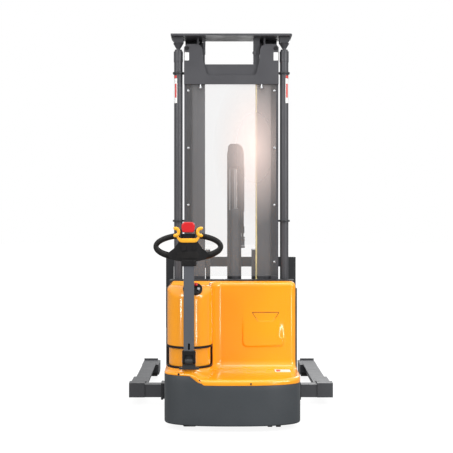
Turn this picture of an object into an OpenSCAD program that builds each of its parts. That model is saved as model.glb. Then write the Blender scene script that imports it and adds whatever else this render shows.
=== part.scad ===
// Walkie stacker with a straddle base, a two-stage mast and an offset tiller.
// +X is the machine's right, +Y is forward to the fork tips, +Z is up.
// The origin is on the floor, under the middle of the machine's outline.
// A "station" is a distance forward of the rearmost point of the chassis.

/* [Overall] */
// Length from the rear of the skirt to the fork tips
overall_length = 2035; // [2035:1:2035]
// Half of the width over the straddle legs
half_width = 638; // [638:1:638]
// Height of the lowered mast
mast_height = 2285; // [2285:1:2285]

/* [Chassis] */
// Half width of the rear skirt
skirt_half = 381; // [375:1:385]
// Depth of the rounded rear end of the skirt
skirt_round = 150; // [140:1:160]
// How square the rounded rear end is, 2 for an ellipse
skirt_power = 2.5; // [2.2:0.1:3]
// Station of the skirt's front end
skirt_front = 425; // [420:1:430]
// Height of the skirt's lower edge
skirt_bottom = 35; // [30:1:40]
// Height of the seam between skirt and hood, left side
seam_left = 308; // [304:1:312]
// Height of the seam between skirt and hood, right side
seam_right = 258; // [255:1:262]
// Thickness of the skirt plate
skirt_plate = 8; // [6:1:8]
// Underside of the steering deck
deck_bottom = 232; // [230:1:233]

/* [Hood] */
// Right side of the hood's upper part
hood_half = 378; // [376:1:379]
// Height of the hood's top
hood_top = 798; // [790:1:800]
// Station of the hood's flat rear wall
wall_station = 400; // [396:1:404]
// Station where the hood meets the battery box
hood_front = 468; // [466:1:469]
// Height of the low shelf on the right
shelf_top = 290; // [285:1:295]
// Height of the flared foot of the tiller tower
flare_top = 322; // [318:1:326]
// Thickness of the moulded hood
hood_skin = 4; // [3:1:5]

/* [Tiller] */
// Sideways place of the steering axis
steer_x = -240; // [-240:1:-240]
// Station of the steering axis
steer_station = 175; // [175:1:175]
// Outer radius of the tiller tower
tower_r = 127; // [126:1:127]
// Radius of the cover that turns with the tiller inside the slot
shroud_r = 117; // [114:1:118]
// Height of the slot's lower edge
slot_low = 344; // [342:1:346]
// Height of the slot's upper edge
slot_high = 466; // [464:1:469]
// Station where the slot ends on both flanks of the tower
slot_end = 212; // [211:1:220]
// Distance from the steering axis to the tiller pivot
pivot_reach = 152; // [152:1:152]
// Height of the tiller pivot
pivot_z = 390; // [388:1:392]
// Radius of the pivot pin
pin_r = 8; // [7:1:9]
// Width of the tiller arm
arm_w = 58; // [54:1:60]
// Height of the arm's upper end
arm_top = 930; // [925:1:935]
// Half width of the two-loop handle
handle_half = 193; // [190:1:194]
// Half height of the two-loop handle
handle_rise = 80; // [78:1:82]
// Height of the handle's middle
handle_z = 1018; // [1016:1:1020]
// Thickness of the handle loops
loop_tube = 28; // [26:1:29]

/* [Mast] */
// Half width over the outer channels
outer_half = 286; // [286:1:286]
// Station of the outer channels' rear face
outer_rear = 575; // [575:1:575]
// Station of the outer channels' front face
outer_front = 715; // [715:1:715]
// Inner edge of the outer channels' flanges
outer_lip = 239; // [239:1:239]
// Inner edge of the inner beams' flanges
inner_lip = 161; // [160:1:161]
// Height of the outer channels' top
outer_top = 2150; // [2140:1:2155]
// Lowest point of the cut in the yoke plate
yoke_cut = 2039; // [2035:1:2045]
// Sideways place of the lift cylinders
cylinder_x = 323; // [323:1:324]
// Station of the lift cylinders
cylinder_station = 600; // [598:1:602]
// Radius of the lift cylinder barrels
cylinder_r = 26; // [25:1:26]
// Radius of the lift rods
rod_r = 17; // [15:1:18]
// Half width of the crosshead plate
crosshead_half = 366; // [362:1:368]
// Sideways place of the free-lift cylinder
free_x = 28; // [26:1:30]
// Station of the free-lift cylinder
free_station = 720; // [718:1:722]
// Radius of the free-lift barrel
free_r = 36; // [34:1:36]

/* [Carriage and forks] */
// Half width of the load backrest
backrest_half = 410; // [405:1:412]
// Height of the backrest's upper edge
backrest_top = 926; // [920:1:930]
// Station of the fork bars' rear face
bar_rear = 800; // [800:1:802]
// Station of the fork bars' front face
bar_front = 850; // [850:1:850]
// Thickness of the fork shank and blade
fork_thick = 35; // [32:1:36]
// Width of one fork
fork_w = 100; // [90:1:110]
// Sideways place of the forks' middle
fork_x = 175; // [170:1:180]
// Underside of the lowered forks
fork_bottom = 50; // [50:1:55]

/* [Legs and wheels] */
// Station of the leg cross tubes' rear face
tube_rear = 745; // [745:1:745]
// Station of the leg cross tubes' front face
tube_front = 815; // [815:1:815]
// Underside of the leg cross tubes
tube_bottom = 50; // [50:1:50]
// Upper side of the leg cross tubes
tube_top = 130; // [130:1:130]
// Radius of the drive wheel
drive_r = 110; // [108:1:112]
// Radius of the caster wheels
caster_r = 60; // [58:1:62]
// Radius of the load wheels
load_r = 42; // [40:1:43]
// Station of the load wheels
load_station = 1790; // [1780:1:1795]

/* [Hidden] */
$fn = 48;
// Gap between faces that move past each other
gap = 0.5;
// Radial clearance of a running fit
running = 0.08;
caster_x = 235;
caster_station = 200;
caster_trail = 40;
deck_top = deck_bottom + 12;
floor_low = 40;
floor_high = 52;
frame_half = 372;
frame_front = 735;
inner_rear = 597;
inner_front = 693;
inner_outer = 236;
web_in = 198;
web_out = 208;
roller_station = (inner_rear + inner_front) / 2;
roller_r = 33;
inner_bottom = 75;
inner_top = 2135;
plate_z = mast_height - 12;
dash_x = -221;
dash_station = 79;
dash_z = 780;
dash_r = 40;
dash_face = 10;
estop_uv = [18, 20];
key_uv = [33, -9];
gauge_u = -20;
rocker_reach = 146;
dash_tilt = 45;
guard_low = 820;
guard_high = 1985;
ear_top = 2229;
head_top = 1633;
anchor_z = 1030;
sheave_r = 38;
strand_left = free_x - 44;
strand_right = free_x + 44;

// ---------- shared helpers ----------

// Station to Y.
function at(station) = station - overall_length / 2;

// Box between two corners, given as sideways range, station range and height range.
module slab(x, station, z) {
    translate([x[0], at(station[0]), z[0]])
        cube([x[1] - x[0], station[1] - station[0], z[1] - z[0]]);
}

// The children and their mirror image on the other side of the machine.
module both_sides() {
    children();
    mirror([1, 0, 0]) children();
}

// Upright cylinder.
module post(x, station, z, r) {
    translate([x, at(station), z[0]]) cylinder(r = r, h = z[1] - z[0]);
}

// Cylinder lying along X.
module bar_x(x, station, z, r) {
    translate([x[0], at(station), z]) rotate([0, 90, 0]) cylinder(r = r, h = x[1] - x[0]);
}

// Outline drawn in X and Z, extruded from one station to another.
module front_profile(station, points) {
    translate([0, at(station[1]), 0]) rotate([90, 0, 0])
        linear_extrude(station[1] - station[0]) polygon(points);
}

// Outline drawn in station and Z, extruded across a sideways range.
module side_profile(x, points) {
    translate([x[0], 0, 0]) rotate([90, 0, 90])
        linear_extrude(x[1] - x[0]) polygon([for (p = points) [at(p[0]), p[1]]]);
}

// Points of the rounded rear end of the chassis, pulled in by an inset.
function rear_curve(inset) = [
    for (i = [0 : 28])
        let (t = 180 + i * 180 / 28, e = 2 / skirt_power)
        [(skirt_half - inset) * sign(cos(t)) * pow(abs(cos(t)), e),
         at(skirt_round) - (skirt_round - inset) * pow(abs(sin(t)), e)]
];

// Plan of the chassis, from its rounded rear to a station.
module chassis_plan(inset, front) {
    polygon(concat(rear_curve(inset), [[skirt_half - inset, at(front)], [inset - skirt_half, at(front)]]));
}

// Plan of the tiller tower: a half circle with straight flanks to a station.
module tower_plan(r, front) {
    translate([steer_x, at(steer_station)]) circle(r = r);
    translate([steer_x - r, at(steer_station)]) square([2 * r, front - steer_station]);
}

// Everything below the seam between skirt and hood, lowered by a drop.
module below_seam(drop) {
    left = seam_left - drop;
    right = seam_right - drop;
    front_profile([-20, 900], [
        [-450, -50], [450, -50], [450, right], [-150, right],
        for (i = [1 : 7]) [-150 - 85 * i / 8, right + (left - right) * (1 - cos(180 * i / 8)) / 2],
        [-235, left], [-450, left]
    ]);
}

// ---------- chassis ----------

module rear_skirt() {
    color("#4b4e52") intersection() {
        translate([0, 0, skirt_bottom]) linear_extrude(400) difference() {
            chassis_plan(0, skirt_front);
            chassis_plan(skirt_plate, skirt_front + 10);
        }
        below_seam(0);
    }
}

module base_frame() {
    color("#3c3e42") {
        difference() {
            union() {
                translate([0, 0, deck_bottom]) linear_extrude(12) chassis_plan(skirt_plate + 1, 342);
                slab([-frame_half, frame_half], [330, 342], [floor_low, deck_bottom + 1]);
                slab([-frame_half, frame_half], [341, frame_front], [floor_low, floor_high]);
                both_sides() slab([360, frame_half], [341, frame_front], [floor_low, 246]);
                both_sides() slab([360, frame_half], [hood_front + 2, frame_front], [245, 258]);
                slab([-frame_half, frame_half], [341, 560], [deck_bottom, deck_top]);
            }
            post(steer_x, steer_station, [200, 300], 80);
        }
        difference() {
            post(caster_x, caster_station, [190, deck_bottom + 1], 42);
            post(caster_x, caster_station, [180, 228], 12 + running);
        }
    }
}

module tower_skin(inset) {
    translate([0, 0, seam_right - 40]) linear_extrude(hood_top - inset - seam_right + 40)
        tower_plan(tower_r - inset, hood_front + 10);
}

module hood_mass(inset) {
    right_toe = shelf_top - inset;
    left_toe = flare_top - inset;
    intersection() {
        union() {
            tower_skin(inset);
            slab([steer_x, hood_half - inset], [wall_station + inset, hood_front + 10],
                [200, hood_top - inset]);
            translate([0, 0, 200]) linear_extrude(right_toe - 200)
                chassis_plan(inset, wall_station + inset);
            intersection() {
                translate([0, 0, 200]) linear_extrude(left_toe - 200)
                    chassis_plan(inset, wall_station + inset);
                slab([-400, steer_x + tower_r - inset], [-10, 500], [190, 400]);
            }
        }
        difference() {
            slab([-400, 400], [-10, hood_front + (inset > 0 ? 20 : 0)], [150, 900]);
            on_dash(0, 0) translate([-150, -60, -inset]) cube([300, 120, 150]);
        }
    }
}

module motor_hood() {
    color("#ffa81e") difference() {
        hood_mass(0);
        hood_mass(hood_skin);
        below_seam(-1);
        slab([-420, steer_x + tower_r + 20], [-30, slot_end], [slot_low, slot_high]);
        dash_pod([-12, 1], dash_r - 4);
    }
}

module slot_trim() {
    lip = 12;
    color("#141414") difference() {
        intersection() {
            translate([0, 0, slot_low]) linear_extrude(slot_high - slot_low) difference() {
                tower_plan(tower_r + 2, slot_end);
                tower_plan(tower_r - 6, slot_end + 10);
            }
            slab([-420, 0], [0, slot_end], [slot_low, slot_high]);
        }
        slab([-420, 0], [0, slot_end - lip], [slot_low + lip, slot_high - lip]);
    }
}

// Places children on the tilted face of the dash, with local Z out of the face.
module on_dash(u, v) {
    translate([dash_x, at(dash_station), dash_z]) rotate([dash_tilt, 0, 0]) translate([u, v, 0]) children();
}

// Pod with round ends that sits on the tilted corner of the tower.
module dash_pod(z, r) {
    on_dash(0, 0) translate([0, 0, z[0]]) linear_extrude(z[1] - z[0]) {
        for (u = [-14, 14]) translate([u, 0]) circle(r = r);
        translate([-14, -r]) square([28, 2 * r]);
    }
}

module dash_panel() {
    color("#1c1c1e") difference() {
        union() {
            dash_pod([0, dash_face], dash_r);
            dash_pod([-8, 1], dash_r - 4);
        }
        on_dash(estop_uv[0], estop_uv[1]) translate([0, 0, -10]) cylinder(r = 5.3, h = 40);
        on_dash(key_uv[0], key_uv[1]) translate([0, 0, -10]) cylinder(r = 6.3, h = 40);
        on_dash(gauge_u, 0) translate([0, 0, dash_face - 3]) cylinder(r = 19, h = 20);
    }
}

module battery_gauge() {
    color("#2c6f63") on_dash(gauge_u, 0) translate([0, 0, dash_face - 3]) cylinder(r = 18.5, h = 5);
}

module estop_button() {
    color("#d42a2a") on_dash(estop_uv[0], estop_uv[1]) {
        translate([0, 0, -7]) cylinder(r = 5, h = dash_face + 14);
        translate([0, 0, dash_face + 6]) cylinder(r = 11, h = 9);
    }
}

module key_switch() {
    color("#b9b9bd") on_dash(key_uv[0], key_uv[1]) {
        translate([0, 0, -7]) cylinder(r = 6, h = dash_face + 9);
        translate([-1.5, -6, dash_face + 1]) cube([3, 12, 14]);
    }
}

module battery_box() {
    color("#38393d") {
        both_sides() slab([384, 390], [hood_front + 2, 562], [258, 755]);
        slab([-384, 384], [556, 562], [258, 755]);
        slab([-384, 384], [hood_front + 2, 556], [258, 262]);
        slab([-372, 372], [hood_front + 2, 562], [794, 804]);
        both_sides() slab([360, 372], [hood_front + 2, 562], [740, 794]);
        both_sides() slab([360, 390], [550, 562], [740, 755]);
    }
}

module battery() {
    color("#1d1f22") {
        slab([-90, 350], [412, 464], [246, 560]);
        slab([-90, 350], [464, 552], [264, 560]);
        for (x = [-50, 300]) post(x, 500, [560, 580], 9);
    }
}

module pump_motor() {
    color("#2b2d30") {
        post(-180, 350, [deck_top, 430], 46);
        slab([-215, -145], [330, 370], [430, 450]);
    }
}

module oil_tank() {
    color("#5c6064") {
        slab([-352, -240], [302, 462], [deck_top, 560]);
        post(-296, 400, [560, 582], 16);
    }
}

module motor_controller() {
    color("#8b8f94") {
        slab([-90, 200], [412, 418], [620, 770]);
        slab([-80, 190], [418, 452], [630, 760]);
    }
}

module steer_bearing() {
    color("#77797c") difference() {
        post(steer_x, steer_station, [deck_top, deck_top + 12], 100);
        post(steer_x, steer_station, [deck_top - 1, deck_top + 20], 80);
    }
}

module leg_sockets() {
    wall = 8;
    slack = 0.4;
    socket_end = 438;
    color("#3f4145") difference() {
        union() {
            slab([-socket_end, socket_end], [tube_rear - wall, tube_front + wall],
                [tube_bottom - wall, tube_top + wall]);
            both_sides() slab([socket_end - 14, socket_end], [tube_rear - 10, tube_front + 14],
                [tube_bottom - 14, tube_top + 10]);
        }
        slab([-socket_end - 10, socket_end + 10], [tube_rear - slack, tube_front + slack],
            [tube_bottom - slack, tube_top + slack]);
    }
}

// ---------- outer mast and hydraulics ----------

module outer_channels() {
    flange = 16;
    color("#5b5b5f") both_sides() {
        slab([274, outer_half], [outer_rear, outer_front], [floor_high, outer_top]);
        slab([outer_lip, 275], [outer_rear, outer_rear + flange], [floor_high, outer_top]);
        slab([outer_lip, 275], [outer_front - flange, outer_front], [floor_high, outer_top]);
    }
    color("#4a4b4f") for (z = [[floor_high, 200], [270, 400]])
        slab([-outer_half, outer_half], [outer_rear - 12, outer_rear + 1], z);
}

module outer_rollers() {
    color("#a9abae") both_sides() {
        bar_x([212, 233], roller_station, 2080, roller_r);
        bar_x([232, 274], roller_station, 2080, 14);
    }
}

// Half of the yoke plate's outline: an ear beside the cut.
function yoke_half() = [
    [0, guard_high], [outer_half + 1, guard_high], [outer_half + 1, 2210], [270, ear_top],
    for (i = [0 : 8]) [216 - 42 * sin(i * 90 / 8), ear_top - 42 + 42 * cos(i * 90 / 8)],
    [172, 2138], [163, 2095],
    for (i = [0 : 6]) [128 + 28 * cos(i * 15), yoke_cut + 30 - 30 * sin(i * 15)],
    [0, yoke_cut]
];

module yoke_plate() {
    color("#57575b") both_sides() front_profile([outer_rear - 12, outer_rear], yoke_half());
}

module lift_cylinders() {
    color("#55555a") both_sides() difference() {
        union() {
            post(cylinder_x, cylinder_station, [floor_high, 2125], cylinder_r);
            post(cylinder_x, cylinder_station, [2125, 2188], cylinder_r + 2);
            post(cylinder_x, cylinder_station, [2188, 2199], cylinder_r - 4);
        }
        post(cylinder_x, cylinder_station, [500, 2300], rod_r + running);
    }
}

module cylinder_clamps() {
    reach = cylinder_r + 8;
    color("#2e2f33") both_sides() for (z = [2050, 1150]) difference() {
        union() {
            post(cylinder_x, cylinder_station, [z, z + 12], reach);
            slab([outer_half, cylinder_x], [cylinder_station - 12, cylinder_station + 12], [z, z + 12]);
        }
        post(cylinder_x, cylinder_station, [z - 1, z + 13], cylinder_r);
    }
}

module mast_guard() {
    color("#f2f2ee") slab([-272, 272], [outer_rear - 4, outer_rear], [guard_low, guard_high - 1]);
}

module screws() {
    color("#c9ccd0") {
        for (z = [905, 1252, 1599, 1946]) both_sides() translate([261, at(outer_rear - 4), z])
            rotate([90, 0, 0]) cylinder(r = 6, h = 4);
        for (s = [[-297, 316, 0.78], [-182, 286, 0.5], [100, 268, 0.27]])
            translate([s[0], at(skirt_round) - skirt_round
                * pow(1 - pow(abs(s[0]) / skirt_half, skirt_power), 1 / skirt_power), s[1]])
                rotate([90, 0, 0]) cylinder(r = 5, h = 2.4 * s[2]);
    }
}

module hex_bolts() {
    color("#b9bcc0") {
        for (x = [-187, 183]) post(x, outer_rear - 10, [1962, guard_high], 5);
        both_sides() for (x = [300, 350]) translate([x, at(780), tube_top + 8])
            cylinder(r = 10, h = 9, $fn = 6);
    }
}

// ---------- steering and drive ----------

// Station of a point at a distance behind the steering axis.
function behind(reach) = steer_station - reach;

module drive_gearbox() {
    color("#46484c") difference() {
        union() {
            slab([steer_x + 41, steer_x + 74], [steer_station - 45, steer_station + 45], [62, 226]);
            post(steer_x, steer_station, [222, 230], 79);
            post(steer_x, steer_station, [229, 262], 79.5);
            bar_x([steer_x - 30, steer_x + 60], steer_station, drive_r, 16);
        }
        post(steer_x, steer_station, [230, 300], 70);
    }
}

module traction_motor() {
    color("#26282b") {
        post(steer_x, steer_station, [230, 430], 70);
        post(steer_x, steer_station, [430, 465], 48);
    }
}

module tiller_shroud() {
    color("#ffa81e") difference() {
        post(steer_x, steer_station, [326, 480], shroud_r);
        post(steer_x, steer_station, [330, 476], shroud_r - 5);
        post(steer_x, steer_station, [320, 340], 70 + gap);
    }
}

module tiller_base() {
    color("#1b1b1d") difference() {
        union() {
            slab([steer_x - 20, steer_x + 20], [behind(pivot_reach), behind(105)], [pivot_z - 20, 422]);
            bar_x([steer_x - 20, steer_x + 20], behind(pivot_reach), pivot_z, 16);
            slab([steer_x - 36, steer_x + 36], [behind(150), behind(135)], [slot_low, pivot_z - 18]);
            slab([steer_x - 20, steer_x + 20], [behind(136), behind(105)], [slot_low + 14, pivot_z]);
            slab([steer_x - 54, steer_x + 54], [behind(150), behind(135)], [slot_low, slot_low + 12]);
        }
        post(steer_x, steer_station, [300, 500], shroud_r);
        bar_x([steer_x - 60, steer_x + 60], behind(pivot_reach), pivot_z, pin_r);
    }
}

module pivot_pin() {
    color("#b4b6b9") bar_x([steer_x - 38, steer_x + 38], behind(pivot_reach), pivot_z, pin_r);
}

module drive_tyre() {
    color("#2a2a2b") difference() {
        bar_x([steer_x - 36, steer_x + 36], steer_station, drive_r, drive_r);
        bar_x([steer_x - 40, steer_x + 40], steer_station, drive_r, 82);
    }
}

module drive_hub() {
    color("#8a8c90") difference() {
        bar_x([steer_x - 34, steer_x + 34], steer_station, drive_r, 82);
        bar_x([steer_x - 40, steer_x + 40], steer_station, drive_r, 16 + running);
    }
}

// ---------- tiller ----------

module tiller_knuckle() {
    top = 448;
    color("#1b1b1d") difference() {
        union() {
            for (side = [-1, 1]) translate([side * 28.5, 0, 0]) {
                bar_x([steer_x - 8, steer_x + 8], behind(pivot_reach), pivot_z, 16);
                slab([steer_x - 8, steer_x + 8], [behind(168), behind(136)], [pivot_z, top - 1]);
            }
            slab([steer_x - 36.5, steer_x + 36.5], [behind(168), behind(136)], [top - 24, top]);
        }
        bar_x([steer_x - 60, steer_x + 60], behind(pivot_reach), pivot_z, pin_r + running);
    }
}

module tiller_arm() {
    wall = 4;
    color("#5d5f66") difference() {
        slab([steer_x - arm_w / 2, steer_x + arm_w / 2], [behind(166), behind(138)], [448, arm_top]);
        slab([steer_x - arm_w / 2 + wall, steer_x + arm_w / 2 - wall], [behind(162), behind(142)],
            [447, arm_top - 10]);
        slab([steer_x - 5, steer_x + 6], [behind(170), behind(160)], [454, 489]);
    }
}

module gas_spring() {
    color("#111214") {
        post(steer_x, behind(pivot_reach), [500, 800], 9);
        post(steer_x, behind(pivot_reach), [449, 500], 4);
        bar_x([steer_x - 6, steer_x + 6], behind(pivot_reach), 806, 8);
    }
}

function oval(a, b) = [for (i = [0 : 47]) [a * cos(i * 7.5), b * sin(i * 7.5)]];

function head_half() = [[0, 936], [41, 936], [60, 939], [96, 948], [112, 972], [104, 990], [76, 1012],
    [54, 1044], [50, 1094], [37, 1094], [37, 1088], [0, 1088]];

module head_outline() {
    for (side = [-1, 1]) polygon([for (p = head_half()) [side * p[0], p[1]]]);
}

module on_tiller(reach) {
    translate([steer_x, at(behind(reach[1])), 0]) rotate([90, 0, 0])
        mirror([0, 0, 1]) linear_extrude(reach[1] - reach[0]) children();
}

module tiller_head() {
    color("#1f1e1f") difference() {
        union() {
            on_tiller([114, 150]) head_outline();
            slab([steer_x - 41, steer_x + 41], [behind(172), behind(114)], [912, 942]);
            for (side = [-1, 1]) translate([side * 43.25, 0, 0])
                slab([steer_x - 5.75, steer_x + 5.75], [behind(166), behind(140)], [1066, 1115]);
        }
        slab([steer_x - arm_w / 2, steer_x + arm_w / 2], [behind(166), behind(138)], [900, arm_top]);
        post(steer_x, behind(132), [1050, 1100], 10 + gap);
        bar_x([steer_x - 60, steer_x + 60], behind(157), 1101, 5 + running);
        slab([steer_x - 43, steer_x - 13], [behind(160), behind(142)], [995, 1025]);
        bar_x([steer_x - 47, steer_x - 9], behind(rocker_reach), 1010, 2.5 + running);
        translate([steer_x + 28, at(behind(140)), 1010]) rotate([90, 0, 0]) cylinder(r = 9 + gap, h = 30);
    }
}

module loop_half(side) {
    on_tiller([115, 139]) translate([0, handle_z]) intersection() {
        difference() {
            polygon(oval(handle_half, handle_rise));
            polygon(oval(handle_half - loop_tube, handle_rise - loop_tube));
            translate([0, -handle_z]) head_outline();
            square([90, 400], center = true);
        }
        translate([side > 0 ? 0 : -300, -200]) square([300, 400]);
    }
}

module grip_left() {
    color("#232120") loop_half(-1);
}

module grip_right() {
    color("#232120") loop_half(1);
}

module head_frame() {
    color("#f2b42c") on_tiller([150, 158])
        polygon([[-46, 1041], [46, 1041], [62, 1064], [44, 1065], [-44, 1065], [-62, 1064]]);
}

// Throttle paddle shaped like a C that opens outward, on a stub shaft.
module throttle(side) {
    color("#f6c23a") {
        on_tiller([151, 163]) translate([side * 80, 1101]) difference() {
            circle(r = 28);
            circle(r = 13);
            translate([side * 11 - (side < 0 ? 60 : 0), -40]) square([60, 80]);
        }
        translate([side * 50, 0, 0]) bar_x([steer_x - 7, steer_x + 7], behind(157), 1101, 5);
    }
}

module throttle_left() {
    throttle(-1);
}

module throttle_right() {
    throttle(1);
}

module belly_button() {
    color("#d8302e") {
        slab([steer_x - 36, steer_x + 36], [behind(168), behind(124)], [1096, 1154]);
        post(steer_x, behind(132), [1062, 1097], 10);
    }
}

module lift_rocker() {
    color("#3a3a3c") {
        slab([steer_x - 42, steer_x - 14], [behind(156), behind(147)], [997, 1023]);
        slab([steer_x - 40, steer_x - 16], [behind(148), behind(rocker_reach)], [1005, 1015]);
        bar_x([steer_x - 46, steer_x - 10], behind(rocker_reach), 1010, 2.5);
    }
}

module horn_button() {
    color("#3a3a3c") translate([steer_x + 28, at(behind(146)), 1010]) rotate([90, 0, 0])
        cylinder(r = 9, h = 11);
}

// ---------- caster ----------

module caster_fork() {
    wheel_station = caster_station - caster_trail;
    color("#3b3d41") difference() {
        union() {
            post(caster_x, caster_station, [176, 189], 36);
            post(caster_x, caster_station, [188, 226], 12);
            side_profile([caster_x - 8, caster_x + 8], [
                [caster_station - 18, 177], [caster_station + 30, 177],
                [wheel_station + 18, caster_r - 14], [wheel_station - 18, caster_r - 14],
                [wheel_station - 20, caster_r + 14]]);
        }
        bar_x([caster_x - 20, caster_x + 20], wheel_station, caster_r, 8 + running);
    }
}

module caster_wheels() {
    wheel_station = caster_station - caster_trail;
    color("#55504a") {
        bar_x([caster_x - 36, caster_x + 36], wheel_station, caster_r, 8);
        for (x = [caster_x - 36, caster_x + 11]) bar_x([x, x + 25], wheel_station, caster_r, caster_r);
    }
}

// ---------- straddle legs ----------

module leg() {
    color("#5a5b5e") {
        slab([150, 545], [tube_rear, tube_front], [tube_bottom, tube_top]);
        side_profile([540, half_width], [[738, 50], [738, 140], [790, 144], [905, 120], [905, 50]]);
        slab([553, half_width], [904, 1083], [50, 121]);
        slab([553, 622], [1082, 1652], [50, 113]);
        slab([530, 622], [860, 1652], [112, 120]);
        slab([512, 632], [1650, 1664], [50, 107]);
        for (x = [512, 620]) side_profile([x, x + 12], [[1663, 107], [1663, 50], [1700, 26], [1850, 26],
            [1873, 50], [1873, 107]]);
        slab([512, 632], [1663, 1873], [98, 107]);
        slab([530, 632], [1861, 1873], [106, 119]);
        bar_x([512, 632], load_station, load_r, 10);
    }
}

module leg_left() {
    mirror([1, 0, 0]) leg();
}

module leg_right() {
    leg();
}

module load_wheel() {
    color("#77736c") difference() {
        bar_x([528, 616], load_station, load_r, load_r);
        bar_x([520, 620], load_station, load_r, 10 + running);
    }
}

module load_wheel_left() {
    mirror([1, 0, 0]) load_wheel();
}

module load_wheel_right() {
    load_wheel();
}

// ---------- inner mast ----------

module inner_beams() {
    flange = 14;
    color("#636367") {
        both_sides() {
            slab([web_in, web_out], [inner_rear, inner_front], [inner_bottom, plate_z]);
            for (station = [inner_rear, inner_front - flange])
                slab([inner_lip, inner_outer], [station, station + flange], [inner_bottom, inner_top]);
            slab([206, inner_outer], [inner_rear - 4, inner_rear + 1], [inner_bottom, inner_top]);
        }
        slab([-inner_outer, inner_outer], [inner_rear - 12, inner_rear + 1], [2030, 2109]);
        both_sides() slab([inner_lip, 173], [inner_rear, inner_rear + 10], [inner_top - 1, plate_z]);
        slab([134, 162], [inner_rear, inner_rear + 10], [2100, plate_z]);
        translate([142, at(inner_rear), 2180]) rotate([90, 0, 0]) cylinder(r = 13, h = 8);
        slab([-web_out, web_out], [inner_rear + flange, 757], [148, 184]);
    }
}

module inner_rollers() {
    color("#a9abae") both_sides() {
        bar_x([243, 271], roller_station, 165, 52);
        bar_x([web_out, 244], roller_station, 165, 16);
    }
}

module crosshead_plate() {
    color("#5f5f63") {
        translate([0, 0, plate_z]) linear_extrude(12) polygon([
            [-crosshead_half, at(523)], [crosshead_half - 10, at(523)], [crosshead_half, at(535)],
            [crosshead_half, at(700)], [crosshead_half - 40, at(721)], [40 - crosshead_half, at(721)],
            [-crosshead_half, at(700)]
        ]);
        both_sides() {
            front_profile([560, 640], [[292, plate_z + 1], [292, 2244], [302, 2236], [344, 2236],
                [crosshead_half - 6, 2262], [crosshead_half - 6, plate_z + 1]]);
            post(cylinder_x, cylinder_station, [2199, 2207], 11);
            translate([cylinder_x, at(cylinder_station), 2206]) cylinder(r1 = 13, r2 = 31, h = 31);
            slab([158, 162], [625, 665], [2180, plate_z + 1]);
            bar_x([161, 194], roller_station, 2213, 36);
        }
    }
}

module lift_rods() {
    color("#c8cbd0") both_sides() post(cylinder_x, cylinder_station, [560, 2199], rod_r);
}

module freelift_barrel() {
    color("#55555a") difference() {
        union() {
            post(free_x, free_station, [184, 1222], free_r);
            post(free_x, free_station, [1190, 1230], free_r - 2);
            slab([free_x + 30, strand_right + 12], [free_station - 16, free_station + 16],
                [anchor_z - 30, anchor_z]);
        }
        post(free_x, free_station, [400, 1300], 20 + running);
    }
}

module mast_hose() {
    color("#d9cf9a") post(152, inner_rear - 8, [185, 2029], 5);
}

// ---------- free lift and carriage ----------

module freelift_head() {
    half = 47;
    color("#4b4b50") {
        post(free_x, free_station, [420, 1479], 20);
        slab([free_x - 34, free_x + 34], [free_station - 30, free_station + 30], [1478, 1498]);
        for (station = [free_station - 30, free_station + 24]) front_profile([station, station + 6], [
            [free_x - half, 1480], [free_x + half, 1480], [free_x + half, head_top - 36],
            for (i = [0 : 6]) [free_x + half - 36 + 36 * cos(i * 15), head_top - 36 + 36 * sin(i * 15)],
            for (i = [6 : 12]) [free_x - half + 22 + 22 * cos(i * 15), head_top - 22 + 22 * sin(i * 15)]
        ]);
        translate([free_x, at(free_station + 26), 1575]) rotate([90, 0, 0]) cylinder(r = 11, h = 52);
    }
}

module chain_sheave() {
    color("#8f9297") translate([free_x, at(free_station + 18), 1575]) rotate([90, 0, 0]) difference() {
        cylinder(r = sheave_r, h = 36);
        translate([0, 0, -1]) cylinder(r = 11 + running, h = 40);
    }
}

module lift_chain() {
    color("#3d3d3f") {
        for (s = [[strand_left, 620], [strand_right, anchor_z]])
            slab([s[0] - 5, s[0] + 5], [free_station - 14, free_station + 14], [s[1], 1575]);
    }
}

module carriage() {
    plate_top = 978;
    color("#4d4e53") {
        both_sides() {
            slab([130, 156], [616, bar_rear + 6], [190, plate_top]);
            for (z = [250, 880]) {
                bar_x([163, 194], roller_station, z, roller_r);
                bar_x([155, 164], roller_station, z, 14);
            }
            slab([backrest_half - 48, backrest_half], [805, 840], [480, backrest_top]);
        }
        slab([-300, 300], [bar_rear, bar_front], [190, 250]);
        slab([-300, 300], [bar_rear, bar_front], [520, 580]);
        slab([-backrest_half, backrest_half], [805, 840], [backrest_top - 61, backrest_top]);
        slab([-backrest_half, backrest_half], [805, 840], [480, 521]);
        slab([-131, 131], [764, bar_rear + 1], [600, 640]);
        slab([strand_left - 8, strand_left + 7], [free_station - 14, 765], [600, 620]);
    }
}

module fork(x) {
    blade_top = fork_bottom + fork_thick + 3;
    color("#2e2f32") side_profile([x - fork_w / 2, x + fork_w / 2], [
        [bar_front + gap, fork_bottom], [bar_front + gap, 580 + gap], [815, 580 + gap], [815, 600],
        [bar_front + fork_thick, 600], [bar_front + fork_thick, blade_top], [1500, blade_top],
        [overall_length, fork_bottom + 12], [overall_length, fork_bottom]
    ]);
}

module fork_left() {
    fork(-fork_x);
}

module fork_right() {
    fork(fork_x);
}

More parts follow.
